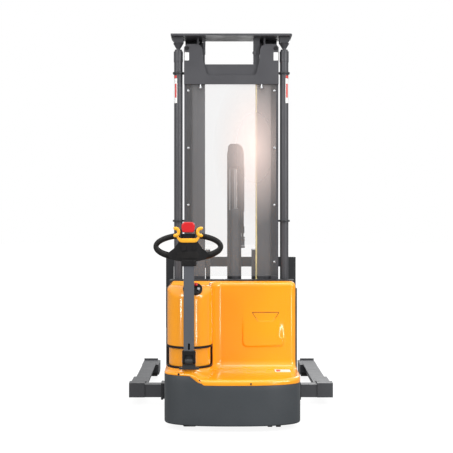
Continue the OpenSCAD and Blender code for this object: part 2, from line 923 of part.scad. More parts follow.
rear_skirt();
base_frame();
motor_hood();
slot_trim();
dash_panel();
battery_gauge();
battery_box();
battery();
pump_motor();
oil_tank();
motor_controller();
steer_bearing();
leg_sockets();
outer_channels();
outer_rollers();
yoke_plate();
lift_cylinders();
cylinder_clamps();
mast_guard();
screws();
hex_bolts();
estop_button();
key_switch();
drive_gearbox();
traction_motor();
tiller_shroud();
tiller_base();
pivot_pin();
drive_tyre();
drive_hub();
tiller_knuckle();
tiller_arm();
gas_spring();
tiller_head();
grip_left();
grip_right();
head_frame();
throttle_left();
throttle_right();
belly_button();
lift_rocker();
horn_button();
caster_fork();
caster_wheels();
leg_left();
leg_right();
load_wheel_left();
load_wheel_right();
inner_beams();
inner_rollers();
crosshead_plate();
lift_rods();
freelift_barrel();
mast_hose();
freelift_head();
chain_sheave();
lift_chain();
carriage();
fork_left();
fork_right();
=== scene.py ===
"""Looks of the straddle walkie stacker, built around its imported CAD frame."""
import math

import bmesh
import bpy
from mathutils import Matrix, Vector


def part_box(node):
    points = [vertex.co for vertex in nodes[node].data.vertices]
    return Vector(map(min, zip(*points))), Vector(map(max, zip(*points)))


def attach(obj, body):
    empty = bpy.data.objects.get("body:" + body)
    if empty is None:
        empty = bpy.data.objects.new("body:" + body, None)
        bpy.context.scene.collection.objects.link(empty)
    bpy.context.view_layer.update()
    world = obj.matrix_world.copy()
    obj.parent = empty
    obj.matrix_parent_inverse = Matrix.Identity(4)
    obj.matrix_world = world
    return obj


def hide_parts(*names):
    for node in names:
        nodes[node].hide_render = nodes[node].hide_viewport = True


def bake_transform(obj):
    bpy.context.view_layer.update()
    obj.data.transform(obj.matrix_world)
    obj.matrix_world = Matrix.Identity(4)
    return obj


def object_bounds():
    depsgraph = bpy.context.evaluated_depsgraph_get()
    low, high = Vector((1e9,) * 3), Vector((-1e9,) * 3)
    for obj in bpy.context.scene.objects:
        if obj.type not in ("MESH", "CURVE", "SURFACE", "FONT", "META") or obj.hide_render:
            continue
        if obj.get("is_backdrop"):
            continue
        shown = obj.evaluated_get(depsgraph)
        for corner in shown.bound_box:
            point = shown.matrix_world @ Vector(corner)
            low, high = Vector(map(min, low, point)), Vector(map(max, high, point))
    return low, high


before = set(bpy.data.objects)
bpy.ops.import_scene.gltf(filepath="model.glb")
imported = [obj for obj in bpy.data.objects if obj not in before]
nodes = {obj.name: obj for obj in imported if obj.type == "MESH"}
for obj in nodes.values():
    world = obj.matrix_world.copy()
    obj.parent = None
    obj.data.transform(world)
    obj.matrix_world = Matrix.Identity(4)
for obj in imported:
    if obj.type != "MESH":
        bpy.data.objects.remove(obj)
cad_low, cad_high = (Vector(corner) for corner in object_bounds())


# ---------- places taken from the frame ----------

REAR = cad_low.y
skirt_low, skirt_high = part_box("rear_skirt")
hood_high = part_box("motor_hood")[1]
trim_low, trim_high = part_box("slot_trim")
shroud_low, shroud_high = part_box("tiller_shroud")
drum_axis = (shroud_low + shroud_high) / 2
guard_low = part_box("mast_guard")[0]
yoke_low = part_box("yoke_plate")[0]
HALF_SKIRT = skirt_high.x
TILLER_X = drum_axis.x
TOWER_R = (trim_high.x - trim_low.x) / 2 - 0.002


def station(distance):
    """Y of a place at a distance in metres forward of the rearmost point."""
    return REAR + distance


# ---------- camera, lights and floor ----------

CAMERA_BACK = 5.077
CAMERA_HEIGHT = 1.2
CAMERA_X = -0.075
LENS = 73.9
SHIFT = (0.0166, -0.0285)


def make_camera():
    """Level camera behind the machine, at the photograph's viewing angle."""
    data = bpy.data.cameras.new("camera")
    data.lens = LENS
    data.shift_x, data.shift_y = SHIFT
    camera = bpy.data.objects.new("camera", data)
    camera.location = (CAMERA_X, REAR - CAMERA_BACK, CAMERA_HEIGHT)
    camera.rotation_euler = (math.radians(90), 0, 0)
    bpy.context.collection.objects.link(camera)
    bpy.context.scene.camera = camera


def area_light(name, place, target, size, power, tint=(1.0, 1.0, 1.0)):
    """Rectangular lamp aimed at a target, which the camera itself does not see."""
    data = bpy.data.lights.new(name, "AREA")
    data.shape = "RECTANGLE"
    data.size, data.size_y = size
    data.energy = power
    data.color = tint
    light = bpy.data.objects.new(name, data)
    light.location = place
    light.visible_camera = False
    light.rotation_euler = (Vector(target) - Vector(place)).to_track_quat("-Z", "Y").to_euler()
    bpy.context.collection.objects.link(light)


def make_studio():
    """White surroundings, a pale floor and the soft and strip lamps."""
    world = bpy.data.worlds.new("studio")
    bpy.context.scene.world = world
    bpy.context.scene.view_settings.view_transform = "Standard"
    world.use_nodes = True
    tree = world.node_tree
    background = tree.nodes["Background"]
    background.inputs["Strength"].default_value = 1.0
    # White behind the object, and a bright ceiling over darker walls in reflections.
    ways = tree.nodes.new("ShaderNodeLightPath")
    direction = tree.nodes.new("ShaderNodeTexCoord")
    split = tree.nodes.new("ShaderNodeSeparateXYZ")
    tree.links.new(direction.outputs["Generated"], split.inputs["Vector"])
    walls = tree.nodes.new("ShaderNodeMapRange")
    for socket, value in (("From Min", -0.05), ("From Max", 0.60), ("To Min", 0.18), ("To Max", 1.02)):
        walls.inputs[socket].default_value = value
    tree.links.new(split.outputs["Z"], walls.inputs["Value"])
    choice = tree.nodes.new("ShaderNodeMix")
    tree.links.new(ways.outputs["Is Camera Ray"], choice.inputs["Factor"])
    tree.links.new(walls.outputs["Result"], choice.inputs["A"])
    choice.inputs["B"].default_value = 1.0
    tree.links.new(choice.outputs["Result"], background.inputs["Color"])
    area_light("streak_left", (-2.37, -3.13, 0.55), (-0.28, -0.97, 0.60), (0.22, 0.50), 8)
    area_light("streak_right", (1.48, -3.36, 0.30), (0.26, -0.62, 0.50), (0.22, 0.42), 5)
    area_light("streak_mast", (2.3, -2.27, 1.45), (0.03, -0.30, 1.35), (0.35, 0.90), 12)
    area_light("fill_left", (-2.6, -3.9, 2.6), (-0.2, -0.7, 0.8), (1.4, 1.4), 62)
    area_light("fill_right", (2.6, -3.6, 2.6), (0.2, -0.6, 0.8), (1.4, 1.4), 66)
    area_light("top", (0.0, -1.9, 4.3), (0.0, -0.4, 0.4), (3.2, 1.6), 54)
    area_light("far_side", (0.6, 4.2, 2.6), (0.0, 0.2, 0.9), (2.4, 2.0), 60)
    floor = bpy.data.meshes.new("floor")
    reach = 30.0
    floor.from_pydata([(-reach, -reach, 0), (reach, -reach, 0), (reach, reach, 0), (-reach, reach, 0)],
                      [], [(0, 1, 2, 3)])
    floor_object = bpy.data.objects.new("floor", floor)
    bpy.context.collection.objects.link(floor_object)
    material = bpy.data.materials.new("pale_floor")
    material.use_nodes = True
    shader = material.node_tree.nodes["Principled BSDF"]
    shader.inputs["Base Color"].default_value = (0.16, 0.16, 0.16, 1)
    shader.inputs["Roughness"].default_value = 0.9
    shader.inputs["Specular IOR Level"].default_value = 0.1
    shader.inputs["Emission Color"].default_value = (1, 1, 1, 1)
    # Seen straight on, the floor is as white as the surroundings; it lights the object only a little.
    ways = material.node_tree.nodes.new("ShaderNodeLightPath")
    glow = material.node_tree.nodes.new("ShaderNodeMapRange")
    glow.inputs["To Min"].default_value = 0.14
    glow.inputs["To Max"].default_value = 0.90
    material.node_tree.links.new(ways.outputs["Is Camera Ray"], glow.inputs["Value"])
    material.node_tree.links.new(glow.outputs["Result"], shader.inputs["Emission Strength"])
    floor.materials.append(material)
    floor_object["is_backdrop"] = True


# ---------- materials ----------

class Paint:
    """Builds one procedural material on a Principled shader, in object coordinates."""

    def __init__(self, name):
        self.material = bpy.data.materials.new(name)
        self.material.use_nodes = True
        self.tree = self.material.node_tree
        self.shader = self.tree.nodes["Principled BSDF"]
        self.place = self.add("ShaderNodeTexCoord").outputs["Object"]

    def add(self, kind, **settings):
        """Adds a node with some of its settings."""
        node = self.tree.nodes.new(kind)
        for key, value in settings.items():
            setattr(node, key, value)
        return node

    def link(self, source, target):
        """Joins an output to an input."""
        self.tree.links.new(source, target)

    def fix(self, **values):
        """Sets inputs of the shader itself, with _ for each space."""
        for key, value in values.items():
            self.shader.inputs[key.replace("_", " ")].default_value = value

    def noise(self, scale, detail=4.0, stretch=(1, 1, 1), rough=0.55):
        """Noise, in object coordinates."""
        mapping = self.add("ShaderNodeMapping")
        mapping.inputs["Scale"].default_value = stretch
        self.link(self.place, mapping.inputs["Vector"])
        texture = self.add("ShaderNodeTexNoise")
        texture.inputs["Scale"].default_value = scale
        texture.inputs["Detail"].default_value = detail
        texture.inputs["Roughness"].default_value = rough
        self.link(mapping.outputs["Vector"], texture.inputs["Vector"])
        return texture.outputs["Fac"]

    def ramp(self, source, stops):
        """Spreads a 0 to 1 value over greys or colours given as (position, colour)."""
        ramp = self.add("ShaderNodeValToRGB")
        elements = ramp.color_ramp.elements
        while len(elements) < len(stops):
            elements.new(0.5)
        for element, (position, colour) in zip(elements, stops):
            element.position = position
            element.color = (*colour, 1) if len(colour) == 3 else colour
        self.link(source, ramp.inputs["Fac"])
        return ramp.outputs["Color"]

    def spread(self, source, low, high, start=0.35, end=0.65):
        """Maps start and end to low and high."""
        node = self.add("ShaderNodeMapRange")
        node.inputs["From Min"].default_value = start
        node.inputs["From Max"].default_value = end
        node.inputs["To Min"].default_value = low
        node.inputs["To Max"].default_value = high
        self.link(source, node.inputs["Value"])
        return node.outputs["Result"]

    def mix(self, share, first, second):
        """Mixes two colours, or colour outputs, by a share."""
        node = self.add("ShaderNodeMix", data_type="RGBA")
        sockets = (node.inputs["Factor"], node.inputs[6], node.inputs[7])
        for socket, value in zip(sockets, (share, first, second)):
            if isinstance(value, (tuple, list)):
                socket.default_value = (*value, 1) if len(value) == 3 else value
            elif isinstance(value, float):
                socket.default_value = value
            else:
                self.link(value, socket)
        return node.outputs[2]

    def bump(self, height, depth, below=None):
        """Relief of a depth, on top of another relief if given."""
        node = self.add("ShaderNodeBump")
        node.inputs["Strength"].default_value = 1.0
        node.inputs["Distance"].default_value = depth
        self.link(height, node.inputs["Height"])
        if below is not None:
            self.link(below, node.inputs["Normal"])
        self.link(node.outputs["Normal"], self.shader.inputs["Normal"])
        return node.outputs["Normal"]

    def edges(self, radius):
        """1 on convex and concave edges within a radius, 0 on flat parts."""
        bevel = self.add("ShaderNodeBevel", samples=4)
        bevel.inputs["Radius"].default_value = radius
        geometry = self.add("ShaderNodeNewGeometry")
        dot = self.add("ShaderNodeVectorMath", operation="DOT_PRODUCT")
        self.link(bevel.outputs["Normal"], dot.inputs[0])
        self.link(geometry.outputs["Normal"], dot.inputs[1])
        return self.spread(dot.outputs["Value"], 1.0, 0.0, 0.80, 0.99)


def lighter(colour, factor):
    """The colour with its channels scaled, and none above 1."""
    return tuple(min(1.0, channel * factor) for channel in colour[:3])


def powder_coat(name, colour, rough=0.42, wear=0.0, grain=0.00005):
    """Painted steel: orange-peel skin, soft tone drift, dust and, if asked, rubbed edges."""
    paint = Paint(name)
    drift = paint.noise(2.2, 3.0)
    tone = paint.ramp(drift, [(0.3, lighter(colour, 0.90)), (0.7, lighter(colour, 1.10))])
    specks = paint.noise(900.0, 1.0)
    tone = paint.mix(paint.spread(specks, 0.0, 0.22, 0.55, 0.75), tone, lighter(colour, 1.5))
    if wear:
        rub = paint.add("ShaderNodeMath", operation="MULTIPLY")
        paint.link(paint.edges(0.0025), rub.inputs[0])
        paint.link(paint.spread(paint.noise(28.0, 5.0), 0.0, wear, 0.42, 0.62), rub.inputs[1])
        tone = paint.mix(rub.outputs["Value"], tone, lighter(colour, 3.2))
    paint.link(tone, paint.shader.inputs["Base Color"])
    sheen = paint.spread(paint.noise(7.0, 4.0), rough - 0.06, rough + 0.10)
    paint.link(sheen, paint.shader.inputs["Roughness"])
    paint.fix(Specular_IOR_Level=0.35)
    paint.bump(paint.noise(420.0, 2.0), grain)
    return paint.material


def gloss_shell(name, colour, rough=0.16, coat=0.65, wave=0.00016):
    """Glossy moulded plastic under a clear coat, with a slow ripple and fine dust."""
    paint = Paint(name)
    drift = paint.noise(1.7, 2.0)
    tone = paint.ramp(drift, [(0.3, lighter(colour, 0.95)), (0.7, lighter(colour, 1.05))])
    dust = paint.noise(260.0, 2.0)
    tone = paint.mix(paint.spread(dust, 0.0, 0.05, 0.62, 0.8), tone, (1.0, 0.85, 0.6))
    paint.link(tone, paint.shader.inputs["Base Color"])
    paint.link(paint.spread(paint.noise(9.0, 5.0), rough, rough + 0.09), paint.shader.inputs["Roughness"])
    paint.fix(Coat_Weight=coat, Coat_Roughness=0.06)
    ripple = paint.bump(paint.noise(16.0, 1.0), wave)
    paint.bump(paint.noise(520.0, 2.0), 0.000006, ripple)
    return paint.material


def moulded_black(name, colour=(0.006, 0.0055, 0.006), rough=0.50, grain=0.00022, scale=650.0):
    """Black plastic or rubber with a fine leather-like grain that shines on the crests."""
    paint = Paint(name)
    cells = paint.add("ShaderNodeTexVoronoi")
    cells.inputs["Scale"].default_value = scale
    paint.link(paint.place, cells.inputs["Vector"])
    tone = paint.ramp(paint.noise(12.0, 4.0), [(0.3, lighter(colour, 0.8)), (0.7, lighter(colour, 1.35))])
    paint.link(tone, paint.shader.inputs["Base Color"])
    sheen = paint.spread(paint.noise(30.0, 4.0), rough - 0.07, rough + 0.08)
    paint.link(sheen, paint.shader.inputs["Roughness"])
    paint.fix(Specular_IOR_Level=0.28)
    paint.bump(cells.outputs["Distance"], grain)
    return paint.material


def bright_metal(name, colour, rough, stretch=(1, 1, 1), scale=160.0, depth=0.00006):
    """Bare, plated or polished metal with drawn or turned marks along the short stretch axis."""
    paint = Paint(name)
    marks = paint.noise(scale, 3.0, stretch)
    tone = paint.ramp(marks, [(0.3, lighter(colour, 0.82)), (0.7, lighter(colour, 1.12))])
    paint.link(tone, paint.shader.inputs["Base Color"])
    paint.link(paint.spread(marks, rough * 0.8, rough * 1.35), paint.shader.inputs["Roughness"])
    paint.fix(Metallic=1.0)
    paint.bump(marks, depth)
    return paint.material


def clear_sheet(name):
    """Clear polycarbonate: thin and faintly warm, with a painted glare, a patch of painted reflection where
    it is paler and less clear.
    """
    paint = Paint(name)
    # Painted glare: a warm, milky patch of painted reflection spreads from a middle over a half width and a
    # half height.
    middle_x, middle_z, half_x, half_z = 0.14, 1.60, 0.24, 0.46
    offset = paint.add("ShaderNodeVectorMath", operation="MULTIPLY_ADD")
    paint.link(paint.place, offset.inputs[0])
    offset.inputs[1].default_value = (1 / half_x, 0, 1 / half_z)
    offset.inputs[2].default_value = (-middle_x / half_x, 0, -middle_z / half_z)
    distance = paint.add("ShaderNodeVectorMath", operation="LENGTH")
    paint.link(offset.outputs["Vector"], distance.inputs[0])
    painted_glare = paint.spread(distance.outputs["Value"], 1.0, 0.0, 0.10, 1.05)
    paint.link(paint.mix(painted_glare, (0.44, 0.43, 0.43), (0.98, 0.80, 0.74)), paint.shader.inputs["Base Color"])
    # The painted glare also makes the sheet less clear where it lies.
    glare_opacity = paint.add("ShaderNodeMath", operation="MULTIPLY_ADD")
    paint.link(painted_glare, glare_opacity.inputs[0])
    glare_opacity.inputs[1].default_value = 0.36
    glare_opacity.inputs[2].default_value = 0.12
    paint.link(glare_opacity.outputs["Value"], paint.shader.inputs["Alpha"])
    paint.link(paint.spread(paint.noise(5.0, 3.0), 0.10, 0.22), paint.shader.inputs["Roughness"])
    paint.bump(paint.noise(3.0, 2.0), 0.0008)
    return paint.material


MATERIALS = {
    "hood": gloss_shell("hood_orange", (0.98, 0.355, 0.004)),
    "hood_top": powder_coat("hood_top_satin", (0.98, 0.355, 0.010), 0.75, grain=0.00002),
    # Painted shadow: dark orange-brown for the line of shade along the finger pocket's edge.
    "seam": moulded_black("panel_seam", (0.20, 0.062, 0.004), 0.6),
    "skirt": powder_coat("skirt_slate", (0.052, 0.058, 0.064), 0.38),
    "frame": powder_coat("frame_dark", (0.032, 0.033, 0.036), 0.42, wear=0.4),
    "mast": powder_coat("mast_grey", (0.062, 0.062, 0.068), 0.36, grain=0.00002),
    "legs": powder_coat("leg_grey", (0.070, 0.072, 0.078), 0.36, wear=0.35),
    "forks": powder_coat("fork_black", (0.030, 0.030, 0.032), 0.45, wear=0.9),
    "arm": powder_coat("arm_grey", (0.088, 0.093, 0.106), 0.40, wear=0.15),
    "black": moulded_black("black_plastic"),
    "grip": moulded_black("grip_rubber", (0.0065, 0.0058, 0.0055), 0.46, 0.0004, 420.0),
    "rubber": moulded_black("trim_rubber", (0.008, 0.007, 0.007), 0.5, 0.0002, 500.0),
    "tyre": moulded_black("tyre_rubber", (0.035, 0.032, 0.030), 0.7, 0.0005, 260.0),
    "red": gloss_shell("button_red", (0.60, 0.012, 0.016), 0.25, 0.3, 0.0001),
    "yellow": gloss_shell("control_yellow", (0.93, 0.43, 0.02), 0.25, 0.3, 0.0001),
    "chrome": bright_metal("rod_chrome", (0.74, 0.73, 0.74), 0.10, (1, 1, 0.02), 60.0, 0.00001),
    "zinc": bright_metal("zinc_plate", (0.70, 0.71, 0.73), 0.28, scale=320.0),
    "steel": bright_metal("machined_steel", (0.42, 0.42, 0.43), 0.34, (1, 1, 0.2)),
    "aluminium": bright_metal("cast_aluminium", (0.55, 0.55, 0.57), 0.45, scale=90.0, depth=0.0002),
    "chain": bright_metal("oiled_chain", (0.10, 0.095, 0.09), 0.38, scale=240.0),
    "clear": clear_sheet("clear_guard"),
    "hose": moulded_black("hose_cream", (0.72, 0.60, 0.26), 0.45, 0.0002, 300.0),
    "label": powder_coat("label_white", (0.78, 0.78, 0.77), 0.5, grain=0.00003),
    "label_red": powder_coat("label_red", (0.60, 0.07, 0.06), 0.5, grain=0.00003),
    "lens": gloss_shell("gauge_lens", (0.02, 0.05, 0.06), 0.08, 1.0, 0.00005),
    "dark": moulded_black("inner_dark", (0.012, 0.012, 0.013), 0.6),
}


# ---------- mesh helpers ----------

def smooth_by_angle(mesh, degrees=32.0):
    """Smooth shading that keeps edges sharper than an angle crisp."""
    work = bmesh.new()
    work.from_mesh(mesh)
    bmesh.ops.remove_doubles(work, verts=work.verts, dist=1e-6)
    bmesh.ops.recalc_face_normals(work, faces=work.faces)
    limit = math.radians(degrees)
    for edge in work.edges:
        edge.smooth = not edge.is_manifold or edge.calc_face_angle(0.0) < limit
    for face in work.faces:
        face.smooth = True
    work.to_mesh(mesh)
    work.free()


def make_piece(name, vertices, faces, look, body, replaces=(), sharp=32.0):
    """A mesh piece of the object that rides on a body."""
    mesh = bpy.data.meshes.new(name)
    mesh.from_pydata([tuple(vertex) for vertex in vertices], [], faces)
    smooth_by_angle(mesh, sharp)
    piece = bpy.data.objects.new(name, mesh)
    bpy.context.collection.objects.link(piece)
    mesh.materials.append(MATERIALS[look])
    if body:
        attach(piece, body)
    if replaces:
        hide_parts(*replaces)
    return piece


def bevel(piece, width, segments=3, angle=35.0):
    """Rounds the edges of a piece and shades its flat faces flat."""
    modifier = piece.modifiers.new("rounded_edges", "BEVEL")
    modifier.width = width
    modifier.segments = segments
    modifier.limit_method = "ANGLE"
    modifier.angle_limit = math.radians(angle)
    weighted = piece.modifiers.new("flat_faces", "WEIGHTED_NORMAL")
    weighted.keep_sharp = False
    return piece


def extrude(outline, low, high, place):
    """Closed prism: outline points (u, v), swept from low to high, put in space by place(u, v, w)."""
    count = len(outline)
    vertices = [place(u, v, w) for w in (low, high) for u, v in outline]
    faces = [(i, (i + 1) % count, count + (i + 1) % count, count + i) for i in range(count)]
    faces.append(tuple(range(count - 1, -1, -1)))
    faces.append(tuple(range(count, 2 * count)))
    return vertices, faces


def join(parts):
    """Joins several (vertices, faces) pairs into one."""
    vertices = []
    faces = []
    for more_vertices, more_faces in parts:
        start = len(vertices)
        vertices += more_vertices
        faces += [tuple(start + index for index in face) for face in more_faces]
    return vertices, faces


def lathe(profile, centre, axis=(0, 0, 1), steps=48, closed_ends=True):
    """Turns a profile of (radius, distance along the axis) round an axis through centre."""
    turn = Vector((0, 0, 1)).rotation_difference(Vector(axis)).to_matrix()
    centre = Vector(centre)
    vertices = []
    for radius, along in profile:
        for step in range(steps):
            angle = 2 * math.pi * step / steps
            local = Vector((radius * math.cos(angle), radius * math.sin(angle), along))
            vertices.append(centre + turn @ local)
    faces = []
    for ring in range(len(profile) - 1):
        for step in range(steps):
            following = (step + 1) % steps
            faces.append((ring * steps + step, ring * steps + following,
                          (ring + 1) * steps + following, (ring + 1) * steps + step))
    if closed_ends:
        faces.append(tuple(range(steps - 1, -1, -1)))
        faces.append(tuple((len(profile) - 1) * steps + step for step in range(steps)))
    return vertices, faces


def tube(path, radius, sides=16, closed=False, squash=(1.0, 1.0), first_side=None):
    """Sweeps a round or oval section along points, with caps unless the path is closed."""
    points = [Vector(point) for point in path]
    count = len(points)
    vertices = []
    side_axis = None
    for index, point in enumerate(points):
        before = points[index - 1] if index or closed else point
        after = points[(index + 1) % count] if index < count - 1 or closed else point
        along = (after - before).normalized()
        if side_axis is None:
            side_axis = Vector(first_side) if first_side else along.orthogonal().normalized()
        side_axis = (side_axis - along * side_axis.dot(along)).normalized()
        up = along.cross(side_axis)
        here = radius(index / max(1, count - 1)) if callable(radius) else radius
        for side in range(sides):
            angle = 2 * math.pi * side / sides
            vertices.append(point + side_axis * (here * squash[0] * math.cos(angle))
                            + up * (here * squash[1] * math.sin(angle)))
    faces = []
    for ring in range(count if closed else count - 1):
        following = (ring + 1) % count
        for side in range(sides):
            other = (side + 1) % sides
            faces.append((ring * sides + side, ring * sides + other,
                          following * sides + other, following * sides + side))
    if not closed:
        faces.append(tuple(range(sides - 1, -1, -1)))
        faces.append(tuple((count - 1) * sides + side for side in range(sides)))
    return vertices, faces


def rounded_outline(points, radii, steps=6):
    """Polygon whose corners are rounded with the given radii."""
    outline = []
    count = len(points)
    for index in range(count):
        corner = Vector(points[index])
        toward_before = (Vector(points[index - 1]) - corner)
        toward_after = (Vector(points[(index + 1) % count]) - corner)
        radius = radii[index] if isinstance(radii, (list, tuple)) else radii
        first, last = toward_before.normalized(), toward_after.normalized()
        half_angle = first.angle(last) / 2
        if radius <= 0 or half_angle > math.radians(89):
            outline.append(tuple(corner))
            continue
        cut = radius / math.tan(half_angle)
        cut = min(cut, toward_before.length * 0.49, toward_after.length * 0.49)
        radius = cut * math.tan(half_angle)
        middle = corner + (first + last).normalized() * (radius / math.sin(half_angle))
        start = corner + first * cut - middle
        end = corner + last * cut - middle
        sweep = math.atan2(start.x * end.y - start.y * end.x, start.dot(end))
        for step in range(steps + 1):
            angle = sweep * step / steps
            turned = (start.x * math.cos(angle) - start.y * math.sin(angle),
                      start.x * math.sin(angle) + start.y * math.cos(angle))
            outline.append((middle.x + turned[0], middle.y + turned[1]))
    return outline


def step_up(value, low, high):
    """Smooth rise from 0 at low to 1 at high."""
    share = min(1.0, max(0.0, (value - low) / (high - low)))
    return share * share * (3 - 2 * share)


def mix(first, second, share):
    """The place between two values at a share of the way."""
    return first + (second - first) * share


# ---------- chassis outline ----------

SKIRT_ROUND = 0.150
SKIRT_POWER = 2.5
SEAM_LEFT = 0.308
SEAM_RIGHT = 0.258
SKIRT_FRONT = 0.425
HOOD_FRONT = 0.468


def rear_curve(share):
    """Point of the rounded rear end, from the left side at 0 to the right side at 1."""
    angle = math.pi * (1 + share)
    power = 2 / SKIRT_POWER
    x = math.copysign(abs(math.cos(angle)) ** power, math.cos(angle)) * HALF_SKIRT
    y = station(SKIRT_ROUND) - SKIRT_ROUND * abs(math.sin(angle)) ** power
    return Vector((x, y))


def seam_height(x):
    """Height of the joint between skirt and hood: an S-curve between two levels."""
    return mix(SEAM_LEFT, SEAM_RIGHT, step_up(x, -0.212, -0.152))


def plan_path(front, count):
    """Evenly spaced points of the chassis plan from the left side round the rear to the right."""
    dense = [Vector((-HALF_SKIRT, station(front)))]
    dense += [rear_curve(step / 240) for step in range(241)]
    dense.append(Vector((HALF_SKIRT, station(front))))
    return resample(dense, count)


def resample(points, count):
    """The same line through evenly spaced points."""
    lengths = [0.0]
    for before, after in zip(points, points[1:]):
        lengths.append(lengths[-1] + (after - before).length)
    result = []
    index = 0
    for step in range(count):
        target = lengths[-1] * step / (count - 1)
        while index < len(points) - 2 and lengths[index + 1] < target:
            index += 1
        span = max(1e-9, lengths[index + 1] - lengths[index])
        share = (target - lengths[index]) / span
        result.append(points[index].lerp(points[index + 1], min(1.0, max(0.0, share))))
    return result


def plan_normals(path):
    """Outward normals along an open plan path that runs from left round the rear to right."""
    normals = []
    for index in range(len(path)):
        before = path[max(0, index - 1)]
        after = path[min(len(path) - 1, index + 1)]
        along = (after - before).normalized()
        normals.append(Vector((along.y, -along.x)))
    return normals


# ---------- rear skirt ----------

def make_skirt():
    """Thick painted plate round the rear, with a rounded lower edge and the S-shaped upper edge."""
    path = plan_path(SKIRT_FRONT, 260)
    normals = plan_normals(path)
    bottom = skirt_low.z
    plate = 0.0078
    roll = 0.010
    rim = 0.003
    vertices = []
    for point, normal in zip(path, normals):
        top = seam_height(point.x) - 0.0005
        section = [(plate, bottom + 0.002), (roll + 0.001, bottom)]
        section += [(roll * (1 - math.sin(a)), bottom + roll * (1 - math.cos(a)))
                    for a in (math.radians(12 * k) for k in range(1, 8))]
        section += [(0.0, mix(bottom + roll, top - rim, k / 8)) for k in range(9)]
        section += [(rim * (1 - math.cos(a)), top - rim + rim * math.sin(a))
                    for a in (math.radians(30 * k) for k in range(1, 4))]
        section += [(plate, top)]
        for inset, height in section:
            spot = point - normal * inset
            vertices.append((spot.x, max(spot.y, REAR), height))
    rows = len(vertices) // len(path)
    faces = []
    for column in range(len(path) - 1):
        for row in range(rows):
            other = (row + 1) % rows
            faces.append((column * rows + row, column * rows + other,
                          (column + 1) * rows + other, (column + 1) * rows + row))
    faces.append(tuple(range(rows)))
    faces.append(tuple((len(path) - 1) * rows + row for row in range(rows - 1, -1, -1)))
    make_piece("skirt_plate", vertices, faces, "skirt", "chassis", ("rear_skirt",), 40)


# ---------- moulded hood ----------

HOOD_TOP = hood_high.z
HOOD_HALF = 0.378
SHELF = 0.290
FLARE = 0.322
WALL = 0.400
WALL_END = HOOD_HALF - 0.030
SLOT_LOW = trim_low.z
SLOT_HIGH = trim_high.z
SLOT_END = 0.212
STEER_Y = drum_axis.y
HOOD_SKIN = 0.0038
# Raised wedge panel on the rear wall: left, right, bottom, top, corner radius, height of its foot
PANEL = (0.061, 0.313, 0.414, 0.635, 0.030, 0.0085)
# Finger pocket in the panel: middle, half width at the top and bottom, bottom, top, depth
POCKET = (0.1995, 0.080, 0.043, 0.565, 0.619, 0.0012)
# Depth of the groove along the pocket's top and slanted sides
GROOVE = 0.0012


def hood_outline():
    """Columns of the hood: upper plan point, toe position and the kind of column, which sets its fillet
    sizes.
    """
    right_flank = TILLER_X + TOWER_R
    fillet = 0.060
    corner = 0.030
    pieces = []

    def straight(start, end, count, toe_start, toe_end, kind):
        for step in range(count):
            share = step / count
            point = Vector(start).lerp(Vector(end), share)
            pieces.append((point, mix(toe_start, toe_end, share), kind))

    def arc(centre, radius, first, last, count, toe_start, toe_end, kind):
        for step in range(count):
            share = step / count
            angle = math.radians(mix(first, last, share))
            point = Vector((centre[0] + radius * math.cos(angle), centre[1] + radius * math.sin(angle)))
            pieces.append((point, mix(toe_start, toe_end, share), kind))

    left = TILLER_X - TOWER_R
    toe_left = toe_share(-0.3808)
    straight((left, station(HOOD_FRONT)), (left, station(SLOT_END)), 26, 0.0, toe_left * 0.55, "flank")
    straight((left, station(SLOT_END)), (left, STEER_Y), 10, toe_left * 0.55, toe_left * 0.80, "flank")
    arc((TILLER_X, STEER_Y), TOWER_R, 180, 270, 44, toe_left * 0.80, toe_share(TILLER_X), "tower")
    arc((TILLER_X, STEER_Y), TOWER_R, 270, 360, 44, toe_share(TILLER_X), toe_share(-0.128), "tower")
    straight((right_flank, STEER_Y), (right_flank, station(SLOT_END)), 10,
             toe_share(-0.128), toe_share(-0.098), "inner")
    straight((right_flank, station(SLOT_END)), (right_flank, station(WALL) - fillet), 12,
             toe_share(-0.098), toe_share(-0.052), "inner")
    arc((right_flank + fillet, station(WALL) - fillet), fillet, 180, 90, 18,
        toe_share(-0.052), toe_share(-0.020), "inner")
    straight((right_flank + fillet, station(WALL)), (WALL_END, station(WALL)), 132,
             toe_share(-0.020), toe_share(0.345), "wall")
    arc((WALL_END, station(WALL) + corner), corner, -90, 0, 10,
        toe_share(0.345), mix(toe_share(0.3808), 1.0, 0.45), "wall")
    straight((HOOD_HALF, station(WALL) + corner), (HOOD_HALF, station(HOOD_FRONT)), 10,
             mix(toe_share(0.3808), 1.0, 0.45), 1.0, "wall")
    pieces.append((Vector((HOOD_HALF, station(HOOD_FRONT))), 1.0, "wall"))
    return pieces


TOE = plan_path(HOOD_FRONT, 1200)


def toe_share(x):
    """Share along the toe path where it passes a sideways place on the rounded rear."""
    nearest = min(range(len(TOE)), key=lambda index: abs(TOE[index].x - x) + (TOE[index].y > station(0.16)))
    return nearest / (len(TOE) - 1)


def toe_point(share):
    """Point of the toe profile, where share runs from 0 at its first point to 1 at its last."""
    place = share * (len(TOE) - 1)
    index = min(len(TOE) - 2, int(place))
    return TOE[index].lerp(TOE[index + 1], place - index)


def hood_heights():
    """Heights of the upright part of the hood, closer together where it is detailed."""
    heights = [SLOT_LOW, SLOT_LOW + 0.004]
    while heights[-1] < SLOT_HIGH - 0.011:
        heights.append(heights[-1] + 0.0045)
    heights[-1] = SLOT_HIGH
    while heights[-1] < 0.645:
        heights.append(heights[-1] + 0.003)
    while heights[-1] < 0.722:
        heights.append(heights[-1] + 0.008)
    return heights


